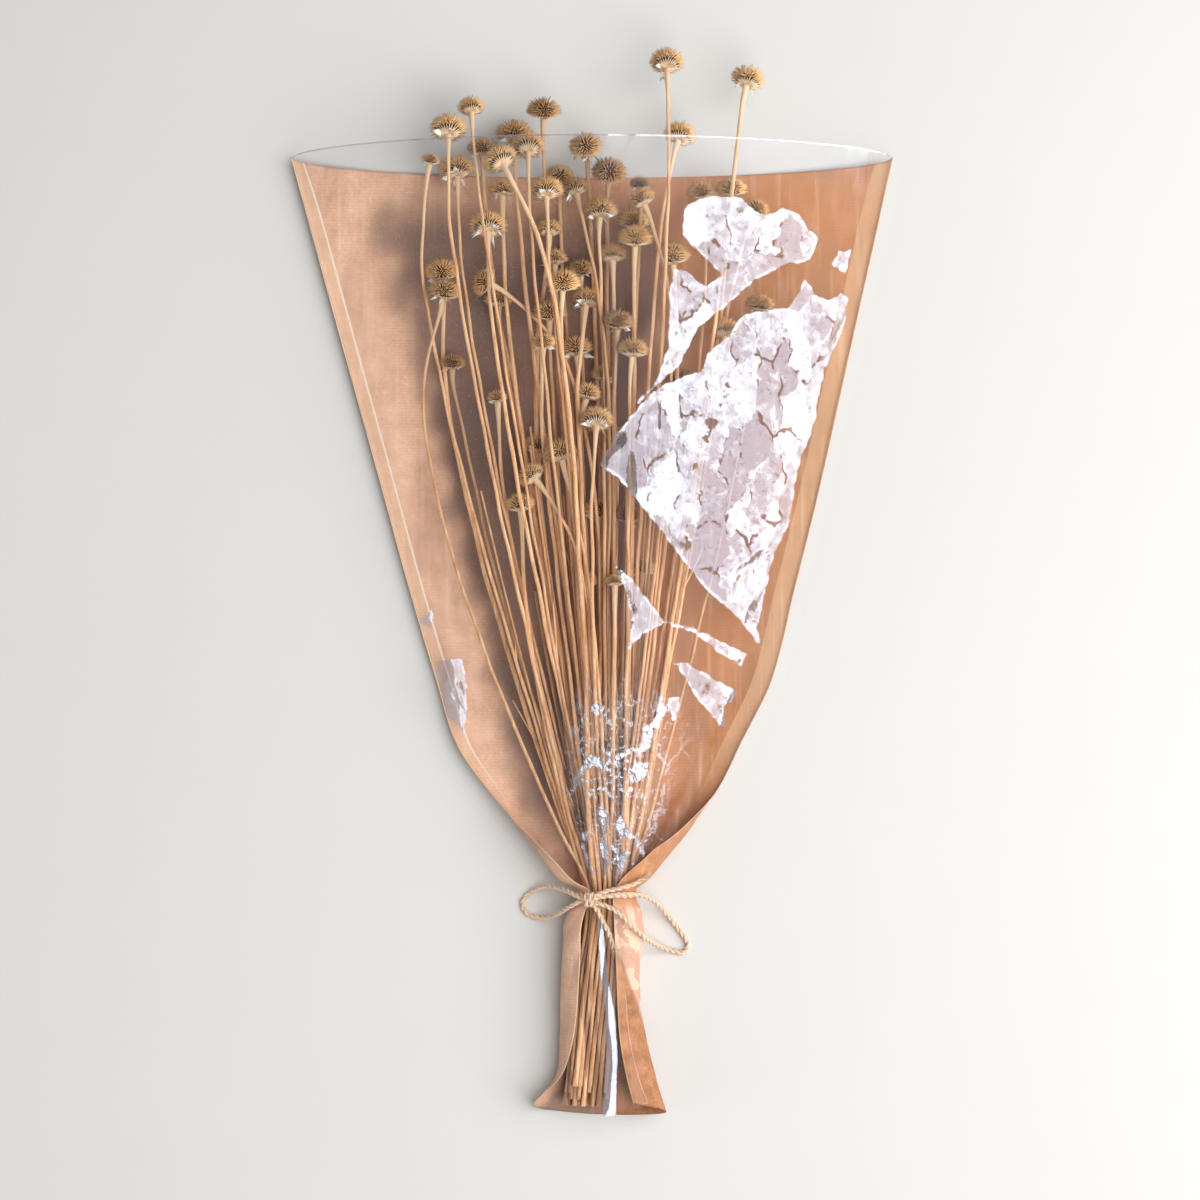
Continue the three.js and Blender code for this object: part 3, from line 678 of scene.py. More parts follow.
def new_material(name):
    """A material, its Nodes, its shader and the place of each point on the piece."""
    material = bpy.data.materials.new(name)
    material.use_nodes = True
    nodes = Nodes(material.node_tree)
    shader = material.node_tree.nodes["Principled BSDF"]
    place = nodes.add("ShaderNodeTexCoord").outputs["Object"]
    return material, nodes, shader, place


def bump(nodes, shader, height, strength, distance):
    normal = nodes.add("ShaderNodeBump", {"Height": height, "Strength": strength, "Distance": distance})
    nodes.feed(shader.inputs["Normal"], normal)


# ---- Fixed colours and sizes of the materials ----
STEM_UNDER_HEAD = (0.84, 0.64, 0.41, 1)
STEM_AGED = (0.36, 0.19, 0.10, 1)
STEM_DEAD = (0.13, 0.062, 0.04, 1)
STEM_BRUISE = (0.20, 0.085, 0.045, 1)
TIP_AGED = (0.33, 0.165, 0.08, 1)
TIP_FRESH = (1.0, 0.74, 0.43, 1)
RIB_AT_STEM = (0.88, 0.66, 0.43, 1)
RIB_AT_RIM = (1.0, 0.76, 0.50, 1)
RIB_AGED = (0.38, 0.24, 0.14, 1)
PETAL_SCRAP = (0.93, 0.88, 0.80, 1)
PAPER_FLECK_LEFT = (0.68, 0.38, 0.235, 1)
PAPER_RIB = (0.30, 0.16, 0.09, 1)
PAPER_CLOUD = (0.36, 0.19, 0.115, 1)
PAPER_STREAK = (0.95, 0.66, 0.47, 1)
PAPER_FIBRE = (0.70, 0.47, 0.31, 1)
PAPER_HEM = (0.88, 0.60, 0.38, 1)
PAPER_WELD = (0.95, 0.86, 0.76, 1)
PAPER_WORN = (0.90, 0.70, 0.50, 1)
# Colour of the shadow of the stems, painted on the paper
PAINTED_STEM_SHADOW = (0.115, 0.068, 0.06, 1)
RUST_LIGHT = (0.56, 0.25, 0.105, 1)
RUST_DARK = (0.27, 0.10, 0.035, 1)
# Painted light and shade on the crumple facets of the paper turned back, and painted highlights on its
# creases
CRUMPLE_SHADED_FACET = (0.60, 0.34, 0.235, 1)
CRUMPLE_LIT_FACET = (0.84, 0.55, 0.41, 1)
CRUMPLE_CREASE_HIGHLIGHT = (0.95, 0.74, 0.62, 1)
# Painted shadow under the turned edge of the paper
TURNED_EDGE_SHADOW = (0.16, 0.075, 0.04, 1)
# Painted reflection colours of the film, and the dark painted lines where its reflection breaks at creases
FILM_DIM_REFLECTION = (0.34, 0.34, 0.405, 1)
FILM_BRIGHT_REFLECTION = (0.54, 0.565, 0.64, 1)
FILM_CREASE_SHADE = (0.10, 0.062, 0.05, 1)
FILM_WOBBLES = 160.0  # wobbles of the film patches' ragged edges in a metre


# ---- Materials ----
def stem_colour(nodes, place, along, tone, settings):
    """Straw and amber streaks, paler under the head, darker with age and bruised low down."""
    grain = nodes.stretched(place, 1.0, 0.09, 1.0)
    stem, streaks = mottle(nodes, tuple(settings.straw), tuple(settings.amber), 420.0, 1.25, grain)
    stem = nodes.mix(nodes.ramp(along, 0.86, 1.0, 0.0, 0.75), stem, STEM_UNDER_HEAD)
    stem = nodes.mix(nodes.times(tone, 0.55), stem, STEM_AGED)
    stem = nodes.mix(nodes.ramp(tone, 1.0, 1.8, 0.0, 0.75), stem, STEM_DEAD)
    bruises = nodes.noise(nodes.stretched(place, 1.0, 0.05, 1.0), 300.0, 2.0)
    low_down = nodes.ramp(along, 0.34, 0.16, 0.0, 0.72)
    stem = nodes.mix(nodes.times(nodes.ramp(bruises, 0.47, 0.60), low_down), stem, STEM_BRUISE)
    return stem, streaks


def daisy_material(settings):
    """Dry stems, bristles, ribs and petal scraps, told apart by the part number on the mesh."""
    material, nodes, shader, place = new_material("dried_daisy")
    part = nodes.attribute("part")
    along = nodes.attribute("along")
    shade = nodes.attribute("shade")
    tone = nodes.attribute("tone")
    root = tuple(settings.root)
    stem, streaks = stem_colour(nodes, place, along, tone, settings)
    tip = nodes.mix(nodes.times(tone, 0.7), tuple(settings.tip), TIP_AGED)
    fresh = nodes.minus(0.5, nodes.times(tone, 0.35))
    tip = nodes.mix(nodes.times(shade, fresh), tip, TIP_FRESH)
    # Partly the head's own dark core, partly painted shade: each bristle darkens to the root colour towards
    # its foot, where the bristles shade each other
    bristle = nodes.mix(nodes.ramp(along, 0.24, 0.62), root, tip)
    rib = nodes.mix(nodes.ramp(along, 0.0, 1.0), RIB_AT_STEM, RIB_AT_RIM)
    rib = nodes.mix(nodes.times(tone, 0.45), rib, RIB_AGED)
    colour = stem
    for number, look in ((BRISTLE, bristle), (RIB, rib), (CORE, root), (PETAL, PETAL_SCRAP)):
        colour = nodes.mix(nodes.maths("GREATER_THAN", part, number - 0.5), colour, look)
    nodes.feed(shader.inputs["Base Color"], colour)
    nodes.feed(shader.inputs["Roughness"], nodes.ramp(streaks, 0.0, 1.0, 0.62, 0.82))
    bump(nodes, shader, streaks, 0.5, 0.0004)
    return material


def foot_colour(nodes, colour, place):
    """Below the tie, right of the stems: a rusty panel, and behind it crumpled paper turned back, with
    painted light and shade on its crumple facets, painted highlights on its creases and a painted shadow
    under the turned edge.
    """
    edge_start, edge_drop, edge_slope = 0.0048, 0.0268, 0.356  # line of the turned edge, from the tie
    across = nodes.minus(nodes.axis(place, 0), TIE.x)
    down = nodes.minus(TIE.y, nodes.axis(place, 1))
    here = nodes.times(nodes.ramp(across, 0.0, 0.003), nodes.ramp(down, 0.002, 0.012))
    rust, _ = mottle(nodes, RUST_LIGHT, RUST_DARK, 95.0, 1.2, place)
    colour = nodes.mix(nodes.times(here, 0.85), colour, rust)
    crumples = crumple(nodes, place, 120.0)
    # Painted light and shade: each crumple facet is lit or shaded at random, and the creases get a painted
    # highlight
    pale = nodes.mix(nodes.ramp(crumples["Facet"], 0.1, 0.9), CRUMPLE_SHADED_FACET, CRUMPLE_LIT_FACET)
    pale = nodes.mix(nodes.times(crumples["Line"], 0.45), pale, CRUMPLE_CREASE_HIGHLIGHT)
    turned_edge = nodes.plus(edge_start, nodes.times(nodes.minus(down, edge_drop), edge_slope))
    beyond = nodes.minus(across, turned_edge)
    turned = nodes.times(here, nodes.ramp(beyond, -0.0003, 0.0003))
    colour = nodes.mix(nodes.times(turned, 0.9), colour, pale)
    # Painted shadow: a dark line on the turned-back paper just under the turned edge
    turned_edge_shadow = nodes.times(turned, nodes.ramp(beyond, 0.0022, 0.0002, 0.0, 0.6))
    return nodes.mix(turned_edge_shadow, colour, TURNED_EDGE_SHADOW)


def paper_edges(nodes, colour, place, side, settings):
    """Adds the hems, the weld line on the left and the worn edge: the colour, and a mask of the hems."""
    edge = nodes.attribute("edge")
    above_tie = nodes.ramp(nodes.axis(place, 1), TIE.y + 0.04, TIE.y + 0.10)
    hem_width = nodes.ramp(side, 0.0, 1.0, settings.hem_width, settings.hem_width * 1.45)
    from_hem = nodes.minus(edge, hem_width)
    hem = nodes.times(above_tie, nodes.ramp(from_hem, 0.0004, -0.0004))
    colour = nodes.mix(nodes.times(hem, 0.34), colour, PAPER_HEM)
    weld = nodes.ramp(nodes.maths("ABSOLUTE", from_hem), 0.0009, 0.0003, 0.0, 0.6)
    left_only = nodes.times(above_tie, nodes.minus(1.0, side))
    colour = nodes.mix(nodes.times(weld, left_only), colour, PAPER_WELD)
    return nodes.mix(nodes.ramp(edge, 0.0009, 0.0002, 0.0, 0.5), colour, PAPER_WORN), hem


def paper_material(settings):
    """Kraft paper: pinkish and ribbed on the left, rusty and mottled on the right, with pale hems, painted
    shade under the stems and painted light and shade on the paper turned back below the tie.
    """
    material, nodes, shader, place = new_material("kraft_paper")
    side = nodes.ramp(nodes.attribute("across"), -0.45, 0.55)
    base = nodes.mix(side, tuple(settings.paper_left), tuple(settings.paper_right))
    dark = nodes.mix(side, PAPER_FLECK_LEFT, tuple(settings.paper_dark))
    colour, blotches = mottle(nodes, base, dark, 75.0, 1.0, place)
    ribs = nodes.add("ShaderNodeTexWave", {
        "Vector": place, "Scale": 175.0, "Distortion": 1.4, "Detail": 2.0, "Detail Scale": 0.4},
        bands_direction="Y").outputs["Fac"]
    colour = nodes.mix(nodes.times(nodes.ramp(side, 0.0, 1.0, 0.10, 0.02), ribs), colour, PAPER_RIB)
    clouds = nodes.noise(nodes.stretched(place, 1.0, 0.28, 1.0), 26.0, 4.0, 0.6)
    colour = nodes.mix(nodes.ramp(clouds, 0.45, 0.68, 0.0, 0.42), colour, PAPER_CLOUD)
    streaks = nodes.noise(nodes.stretched(place, 1.0, 0.04, 1.0), 260.0, 3.0)
    colour = nodes.mix(nodes.ramp(streaks, 0.5, 0.75, 0.0, 0.3), colour, PAPER_STREAK)
    # Painted shade: the paper is darkened where the stems shade it, as far as the shaded attribute says
    colour = nodes.mix(nodes.times(nodes.attribute("shaded"), settings.shade), colour, PAINTED_STEM_SHADOW)
    fibres = nodes.noise(nodes.stretched(place, 1.0, 0.35, 1.0), 1500.0, 2.0)
    colour = nodes.mix(nodes.ramp(fibres, 0.58, 0.72, 0.0, 0.25), colour, PAPER_FIBRE)
    colour = foot_colour(nodes, colour, place)
    colour, hem = paper_edges(nodes, colour, place, side, settings)
    nodes.feed(shader.inputs["Base Color"], colour)
    nodes.feed(shader.inputs["Roughness"], nodes.ramp(blotches, 0.0, 1.0, 0.62, 0.8))
    relief = nodes.plus(nodes.times(ribs, 0.4), nodes.times(hem, 2.0))
    bump(nodes, shader, nodes.plus(relief, nodes.times(fibres, 0.8)), 0.35, 0.00012)
    return material


def film_patch(nodes, wobble, hangs_smooth):
    """Masks of the painted highlight patches: the patch with its ragged edge, its painted rim, and well
    inside it.
    """
    reach = nodes.attribute("highlight_reach")
    raggedness = nodes.times(nodes.minus(1.0, hangs_smooth), 0.004)
    ragged = nodes.plus(reach, nodes.times(nodes.minus(wobble, 0.5), raggedness))
    patch = nodes.ramp(ragged, -0.0005, 0.0005)
    rim = nodes.times(nodes.ramp(ragged, 0.0008, 0.0026, 1.0, 0.0), nodes.ramp(wobble, 0.42, 0.56))
    return patch, rim, nodes.ramp(reach, 0.0015, 0.006)


def film_facets(nodes, large, fine, wobble, rim, crinkle, hangs_smooth):
    """Painted reflection: how strong the film's reflection is on each small flat piece, at random per
    facet, raised on the patch rims, over the neck crinkle and where the film hangs smooth below the tie.
    """
    facet = nodes.plus(nodes.times(large["Facet"], 0.6), nodes.times(fine["Facet"], 0.25))
    facet = nodes.plus(facet, nodes.times(nodes.minus(wobble, 0.5), 0.9))
    facet = nodes.largest(nodes.ramp(facet, 0.12, 0.72), rim)
    return nodes.largest(facet, nodes.largest(nodes.ramp(crinkle, 0.0, 0.5), hangs_smooth))


def film_clear(nodes):
    """How much the film shows where nothing is special about it: more edge on, with a painted sheen near
    its mouth and a painted glint along its top edge.
    """
    grazing = nodes.add("ShaderNodeLayerWeight", {"Blend": 0.12}).outputs["Fresnel"]
    mouth = nodes.attribute("mouth")
    # Painted sheen over the last few centimetres before the mouth, and a painted glint on the film's top
    # edge
    mouth_sheen = nodes.ramp(mouth, 0.04, 0.0, 0.0, 0.05)
    lip = nodes.largest(nodes.ramp(mouth, 0.0014, 0.0006, 0.0, 0.5), mouth_sheen)
    return nodes.plus(0.02, nodes.plus(lip, nodes.times(grazing, 0.12)))


def film_material():
    """Clear film: hardly there, but with painted highlights, where its mirror reflection is made strong in
    the given patches and glints, crossed by dark painted crease lines.
    """
    material, nodes, shader, place = new_material("clear_film")
    large = crumple(nodes, place, 62.0)
    fine = crumple(nodes, place, 190.0)
    wobble = nodes.noise(place, FILM_WOBBLES, 4.0)
    up = nodes.axis(place, 1)
    hangs_smooth = nodes.ramp(up, TIE.y - 0.03, TIE.y, 0.8, 0.0)
    crinkle = nodes.attribute("crinkle")
    patch, rim, inner = film_patch(nodes, wobble, hangs_smooth)
    lines = nodes.largest(large["Line"], nodes.times(fine["Line"], 0.45))
    lines = nodes.times(nodes.times(lines, inner), patch)
    facet = film_facets(nodes, large, fine, wobble, rim, crinkle, hangs_smooth)
    # Painted reflection: grey to silver by facet, with dark painted crease lines where the reflection
    # breaks
    painted_reflection = nodes.mix(lines, nodes.mix(facet, FILM_DIM_REFLECTION, FILM_BRIGHT_REFLECTION), FILM_CREASE_SHADE)
    nodes.feed(shader.inputs["Base Color"], painted_reflection)
    shader.inputs["Metallic"].default_value = 0.62
    shader.inputs["Roughness"].default_value = 0.07

    # Painted glints along the crinkle lines where the film is drawn in over the stems
    crinkle_glints = nodes.times(nodes.largest(large["Line"], fine["Line"]), 0.85)
    crinkle_glints = nodes.times(crinkle, nodes.plus(0.08, crinkle_glints))
    edge = nodes.ramp(nodes.attribute("edge"), 0.0011, 0.0004, 0.0, 0.45)
    edge = nodes.times(edge, nodes.minus(1.0, hangs_smooth))
    # Painted highlight: inside the patches the film is made opaque enough to show a strong reflection of
    # the lamp
    alpha = nodes.times(patch, nodes.ramp(facet, 0.0, 1.0, 0.46, 0.66))
    alpha = nodes.largest(alpha, nodes.times(lines, 0.7))
    alpha = nodes.plus(nodes.plus(alpha, film_clear(nodes)), crinkle_glints)
    nodes.feed(shader.inputs["Alpha"], nodes.add("ShaderNodeClamp", {0: nodes.plus(alpha, edge)}))

    height = nodes.times(crinkle, nodes.times(fine["Height"], 2.5))
    height = nodes.plus(nodes.times(large["Height"], 0.8), height)
    height = nodes.times(height, nodes.ramp(up, TIE.y - 0.03, TIE.y, 0.12, 1.0))
    bump(nodes, shader, height, 0.35, 0.0016)
    return material


def twine_material(settings):
    """Jute: pale and dark fibres running along the twist."""
    material, nodes, shader, place = new_material("jute_twine")
    colour, fibres = mottle(nodes, tuple(settings.light), tuple(settings.dark), 900.0, 1.1, place)
    nodes.feed(shader.inputs["Base Color"], colour)
    shader.inputs["Roughness"].default_value = 0.9
    shader.inputs["Sheen Weight"].default_value = 0.25
    bump(nodes, shader, fibres, 0.8, 0.0003)
    return material


def floor_material(settings):
    """A pale floor with the faintest clouds."""
    material, nodes, shader, place = new_material("pale_floor")
    darker = tuple(v * 0.97 for v in settings.floor)
    colour, _ = mottle(nodes, tuple(settings.floor), darker, 3.0, 0.6, place)
    nodes.feed(shader.inputs["Base Color"], colour)
    shader.inputs["Roughness"].default_value = 0.85
    return material


# ---- Reading the CAD ----
def cad_shape(node):
    """A CAD node's mesh with its corners merged."""
    shape = bmesh.new()
    shape.from_mesh(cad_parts[node].data)
    bmesh.ops.remove_doubles(shape, verts=shape.verts, dist=1e-6)
    bmesh.ops.recalc_face_normals(shape, faces=shape.faces)
    shape.normal_update()
    return shape


def cad_sheet(node):
    """Outer corners of a CAD sheet, in rows from the cut ends to the mouth, each from left to right."""
    def sheet_normal(corner):
        """Which way the sheet faces at a corner: its narrow cut faces hardly count."""
        return sum((face.normal * face.calc_area() for face in corner.link_faces), Vector())

    shape = cad_shape(node)
    corners = [(np.array(v.co), np.array(sheet_normal(v))) for v in shape.verts]
    corners.sort(key=lambda corner: corner[0][1])
    shape.free()
    per_row = len(corners) // CAD_ROWS
    under = 1 if node.startswith("kraft") else -1
    rows = []
    for k in range(CAD_ROWS):
        row = corners[k * per_row:(k + 1) * per_row]
        places = np.array([c[0] for c in row])
        low, high = places.min(0), places.max(0)
        middle = (low + high) / 2
        if under < 0:
            middle[2] = low[2] - 0.003
        size = (high - low) / 2 + 1e-9
        outer = [corner for corner in row if (corner[0] - middle)[[0, 2]].dot(corner[1][[0, 2]]) > 0]

        def turn(corner):
            x, _, z = (corner[0] - middle) / size
            return math.atan2(x, -under * z)

        rows.append([c[0] for c in sorted(outer, key=turn)])
    shortest = min(len(row) for row in rows)
    if shortest != max(len(row) for row in rows):
        raise RuntimeError(f"{node} isn't a sheet of even rows: {[len(row) for row in rows]}")
    return np.array(rows)


def daisy_axis(shape):
    """The head of a merged CAD daisy: place of its foot, the way it faces and its radius.

    The top of a head is a corner with eight even neighbours, and the head's rings lie round it."""
    def unevenness(corner):
        reach = [edge.calc_length() for edge in corner.link_edges]
        return np.std(reach) / np.mean(reach)

    tops = [v for v in shape.verts if len(v.link_edges) == 8]
    top = min(tops, key=unevenness)
    seen, ring = {top}, {top}
    rings = []
    for _ in range(5):
        ring = {edge.other_vert(v) for v in ring for edge in v.link_edges} - seen
        seen |= ring
        rings.append(ring)
    middles = [sum((v.co for v in r), Vector()) / len(r) for r in rings[:3]]
    way = (top.co - middles[2]).normalized()
    radius = sum((v.co - middles[2]).length for v in rings[2]) / len(rings[2])
    return top.co - way * radius * HEAD_SQUASH, way, radius, seen


def daisy_line(node):
    """Joints of a CAD daisy's stem from its cut end, then the head's foot, way and radius."""
    joint_gap = 0.004  # rings of corners closer than this belong to one joint
    shape = cad_shape(node)
    foot, way, radius, head = daisy_axis(shape)
    rest = sorted((v.co.copy() for v in shape.verts if v not in head), key=lambda p: p.y)
    shape.free()
    joints, group = [], [rest[0]]
    for place in rest[1:]:
        if place.y - group[-1].y > joint_gap:
            joints.append(sum(group, Vector()) / len(group))
            group = []
        group.append(place)
    joints.append(sum(group, Vector()) / len(group))
    return joints, foot, way, radius


# ---- Sheets ----
def monotone(knots, values, at):
    """Smooth values between rows that never swing past them."""
    knots = np.asarray(knots, float)
    shape = (-1,) + (1,) * (values.ndim - 1)
    step = np.diff(knots).reshape(shape)
    slope = np.diff(values, axis=0) / step
    tangent = np.concatenate([slope[:1], np.zeros_like(slope[1:]), slope[-1:]])
    before, after = slope[:-1], slope[1:]
    same = before * after > 0
    w1, w2 = 2 * step[1:] + step[:-1], step[1:] + 2 * step[:-1]
    harmonic = (w1 + w2) / (w1 / np.where(same, before, 1) + w2 / np.where(same, after, 1))
    tangent[1:-1] = np.where(same, harmonic, 0)
    i = np.clip(np.searchsorted(knots, at, side="right") - 1, 0, len(knots) - 2)
    width = (knots[i + 1] - knots[i]).reshape(shape)
    t = ((at - knots[i]) / (knots[i + 1] - knots[i])).reshape(shape)
    return (
        (2 * t ** 3 - 3 * t ** 2 + 1) * values[i] + (t ** 3 - 2 * t ** 2 + t) * width * tangent[i]
        + (3 * t ** 2 - 2 * t ** 3) * values[i + 1] + (t ** 3 - t ** 2) * width * tangent[i + 1])


def fine_sheet(node, columns, settings):
    """The CAD sheet as a fine smooth grid of places: rows by columns by xyz."""
    neck_reach = 0.04  # rows are closer together this near the tie
    rows = cad_sheet(node)
    knots = np.linspace(0, 1, rows.shape[1])
    rows = monotone(knots, rows.transpose(1, 0, 2), np.linspace(0, 1, columns)).transpose(1, 0, 2)
    middles = rows[:, columns // 2, 1]
    stations = [middles[0]]
    while stations[-1] < middles[-1]:
        near = abs(stations[-1] - TIE.y) < neck_reach
        stations.append(stations[-1] + (settings.neck_step if near else settings.mesh_step))
    return monotone(middles, rows, np.minimum(stations, middles[-1]))


def grid_normals(grid, centre):
    """Directions across a grid of places, away from a centre line."""
    normals = np.cross(np.gradient(grid, axis=0), np.gradient(grid, axis=1))
    normals /= np.linalg.norm(normals, axis=2)[..., None] + 1e-12
    middle = grid[len(grid) // 2, grid.shape[1] // 2]
    if (middle - centre).dot(normals[len(grid) // 2, grid.shape[1] // 2]) < 0:
        normals = -normals
    return normals


def grid_faces(rows, columns):
    return [
        (r * columns + c, r * columns + c + 1, (r + 1) * columns + c + 1, (r + 1) * columns + c)
        for r in range(rows - 1) for c in range(columns - 1)]


def run_across(grid):
    """Distance along each row from its left end."""
    steps = np.linalg.norm(np.diff(grid, axis=1), axis=2)
    return np.concatenate([np.zeros((len(grid), 1)), np.cumsum(steps, axis=1)], axis=1)


def noise_field(places, size, seed, ridged=False):
    """Smooth noise, from -1 to 1, or ridges from 0 to 1, at each place of a grid."""
    ridge_steepness = 2.2
    flat = places.reshape(-1, 3) / size + seed
    values = np.array([noise.noise(p) for p in flat])
    if ridged:
        values = 1 - np.minimum(np.abs(values) * ridge_steepness, 1)
    return values.reshape(places.shape[:2])


def distance_inside(x, y, outline):
    """How far inside an outline each place is, negative outside it."""
    inside = np.zeros(x.shape, bool)
    nearest = np.full(x.shape, 1e9)
    for (x0, y0), (x1, y1) in zip(outline, outline[1:] + outline[:1]):
        dx, dy = x1 - x0, y1 - y0
        share = np.clip(((x - x0) * dx + (y - y0) * dy) / (dx * dx + dy * dy), 0, 1)
        nearest = np.minimum(nearest, np.hypot(x - x0 - share * dx, y - y0 - share * dy))
        crossing = (y0 > y) != (y1 > y)
        inside ^= crossing & (x < x0 + (y - y0) * dx / (dy if dy else 1e-9))
    return np.where(inside, nearest, -nearest)


def patch_distance(grid):
    """How far inside the nearest painted highlight patch or painted neck glint each place of the film is,
    in metres.
    """
    x, y = (grid[..., 0] - TIE.x) / MM, (grid[..., 1] - TIE.y) / MM
    outlines = [*PAINTED_HIGHLIGHT_PATCHES.values(), *PAINTED_NECK_GLINTS]
    inside = np.max([distance_inside(x, y, outline) for outline in outlines], axis=0)
    return inside * MM


def run_to_mouth(grid):
    """How far each place is from the sheet's top edge."""
    steps = np.linalg.norm(np.diff(grid, axis=0), axis=2)
    run = np.zeros(grid.shape[:2])
    run[:-1] = np.cumsum(steps[::-1], axis=0)[::-1]
    return run


def neck_crinkle(grid):
    """Where the film is finely crinkled over the stems above the tie, from 0 to 1: its bump is deeper there
    and it carries painted glints.
    """
    middle, half_width, widening, top = 0.006, 0.016, 0.16, 0.135
    x, y = grid[..., 0] - TIE.x - middle, grid[..., 1] - TIE.y
    ends = np.clip((y - 0.004) / 0.015, 0, 1) * np.clip((top - y) / 0.05, 0, 1)
    return np.exp(-(x / (half_width + widening * np.maximum(y, 0))) ** 2) * ends


def tie_fade(grid, reach):
    """0 at the tie, rising to 1 at `reach` from it."""
    away = np.abs(grid[..., 1] - TIE.y)
    return np.clip((away - 0.005) / reach, 0, 1)


def gathers(grid, count, seed):
    """Folds that run out of the tie, sharp near it and gone a hand's breadth away."""
    sharp_reach, fade_length, crookedness = 0.03, 0.05, 0.8
    x, y = grid[..., 0] - TIE.x - NECK["x"], grid[..., 1] - TIE.y
    turn = np.arctan2(x, np.abs(y) + 0.02)
    wave = np.abs(np.sin(turn * count + seed + crookedness * noise_field(grid, 0.05, seed)))
    return wave * np.exp(-np.maximum(np.abs(y) - sharp_reach, 0) / fade_length) * tie_fade(grid, 0.02)


def smooth_step(value):
    """0 below 0, 1 above 1, and a smooth rise between."""
    share = np.clip(value, 0, 1)
    return share * share * (3 - 2 * share)


def stem_shade(grid):
    """How deep the painted shade of the stems is at each place of the paper, from 0 to 1.

    The shade has a left and a right edge that lean out above the tie, and ends under the heads. Below
    the tie it is deep only on the paper behind the stems."""
    left_edge, left_lean, left_blur = 0.045, 0.25, 0.022
    right_edge, right_lean, right_blur = 0.012, 0.10, 0.030
    shade_end, low_paper = 0.43, 0.007
    x, y = grid[..., 0] - TIE.x, grid[..., 1] - TIE.y
    ragged = 0.012 * noise_field(grid, 0.02, 21.0)
    left = smooth_step((x + left_edge + left_lean * y + ragged) / left_blur)
    right = smooth_step((right_edge + right_lean * y - x + ragged) / right_blur)
    ends = smooth_step((y - 0.005) / 0.06) * smooth_step((shade_end - y) / 0.04)
    cloud = 0.85 + 0.3 * noise_field(grid, 0.05, 4.0)
    behind = smooth_step((low_paper - grid[..., 2]) / 0.004)
    below_tie = (0.28 + 0.65 * behind) * smooth_step(-y / 0.02) * cloud
    return np.clip(left * right * ends * cloud + below_tie, 0, 1)


def paper_lift(grid):
    """How far the paper stands in towards the stems: waves at the sides, crumples below the tie."""
    wave, ripple, rise, crumple_depth, crumple_start = 0.0014, 0.0005, 0.0009, 0.0006, 0.012
    side = np.clip((np.abs(grid[..., 0] - TIE.x) - 0.06) / 0.03, 0, 1)
    broad = noise_field(grid * np.array((1, 0.35, 1)), 0.035, 4.0)
    soft = noise_field(grid, 0.017, 11.0)
    below = smooth_step((TIE.y - crumple_start - grid[..., 1]) / 0.03)
    crumples = noise_field(grid * np.array((1, 0.5, 1)), 0.009, 3.0)
    return side * (wave * broad + ripple * soft + rise) + below * crumple_depth * (1 + 1.6 * crumples)


def film_lift(grid, highlight_reach, settings):
    """How far the film stands out from the stems: slack, creases, deeper in the painted highlight patches,
    and gathers.
    """
    slack = 0.0012
    inside = np.clip(highlight_reach / 0.006, 0, 1)
    broad = noise_field(grid, 0.07, 2.0)
    creases = noise_field(grid * np.array((1, 0.6, 1)), 0.024, 6.0, ridged=True) ** 3
    lift = slack * (1 + broad) + settings.crease_depth * creases * (0.25 + 0.75 * inside)
    return (lift + gathers(grid, 17, 0.4) * settings.pleat_depth) * tie_fade(grid, 0.03)


def sheet_object(name, grid):
    """A sheet's object, with its distance from the long edges, its place across and its UV map."""
    piece = new_object(name, grid.reshape(-1, 3), grid_faces(*grid.shape[:2]))
    run = run_across(grid)
    store(piece.data, "edge", np.minimum(run, run[:, -1:] - run))
    middle = (grid[:, :1, 0] + grid[:, -1:, 0]) / 2
    half = np.abs(grid[:, -1:, 0] - grid[:, :1, 0]) / 2 + 0.02
    store(piece.data, "across", np.clip((grid[..., 0] - middle) / half, -1, 1))
    uvs = piece.data.uv_layers.new(name="UVMap")
    flat = np.stack([run, np.broadcast_to(grid[:, :1, 1], run.shape)], axis=-1).reshape(-1, 2)
    corner = np.empty(len(piece.data.loops), np.int32)
    piece.data.loops.foreach_get("vertex_index", corner)
    uvs.data.foreach_set("uv", flat[corner].ravel())
    return piece


# ---- Daisies ----
def stem_points(joints, foot, generator, settings):
    """Places along a stem, a little crooked, and its girth at each."""
    wander, wander_size, knob_size, knob_share = 0.0008, 0.03, 0.012, 0.22
    shares, thickness = (0, 0.14, 0.2, 1), (1.3, 1.2, 1.05, 0.9)  # of the usual girth, from the cut end
    line = smooth_path([*joints, foot], PATH_STEP)
    run = np.linspace(0, path_length(line), len(line))
    left = run[-1] - run
    free = np.clip(left / 0.04, 0, 1) * np.clip(run / 0.02, 0, 1)  # 0 where the stem's ends are held
    shift = generator.random() * 50
    for axis in (0, 2):
        drift = [noise.noise((place / wander_size + shift, axis * 9.0, 0)) for place in run]
        line[:, axis] += wander * free * np.array(drift)
    usual = settings.stem_radius * generator.uniform(0.72, 1.12)
    knobs = np.array([max(noise.noise((place / knob_size + shift, 3, 0)), 0) for place in run])
    girth = usual * (1 + knob_share * knobs) * np.interp(run / run[-1], shares, thickness)
    flare = np.clip(1 - left / settings.flare_length, 0, 1) ** 1.6
    return line, girth + (settings.flare_radius - usual) * flare * generator.uniform(0.75, 1.05)


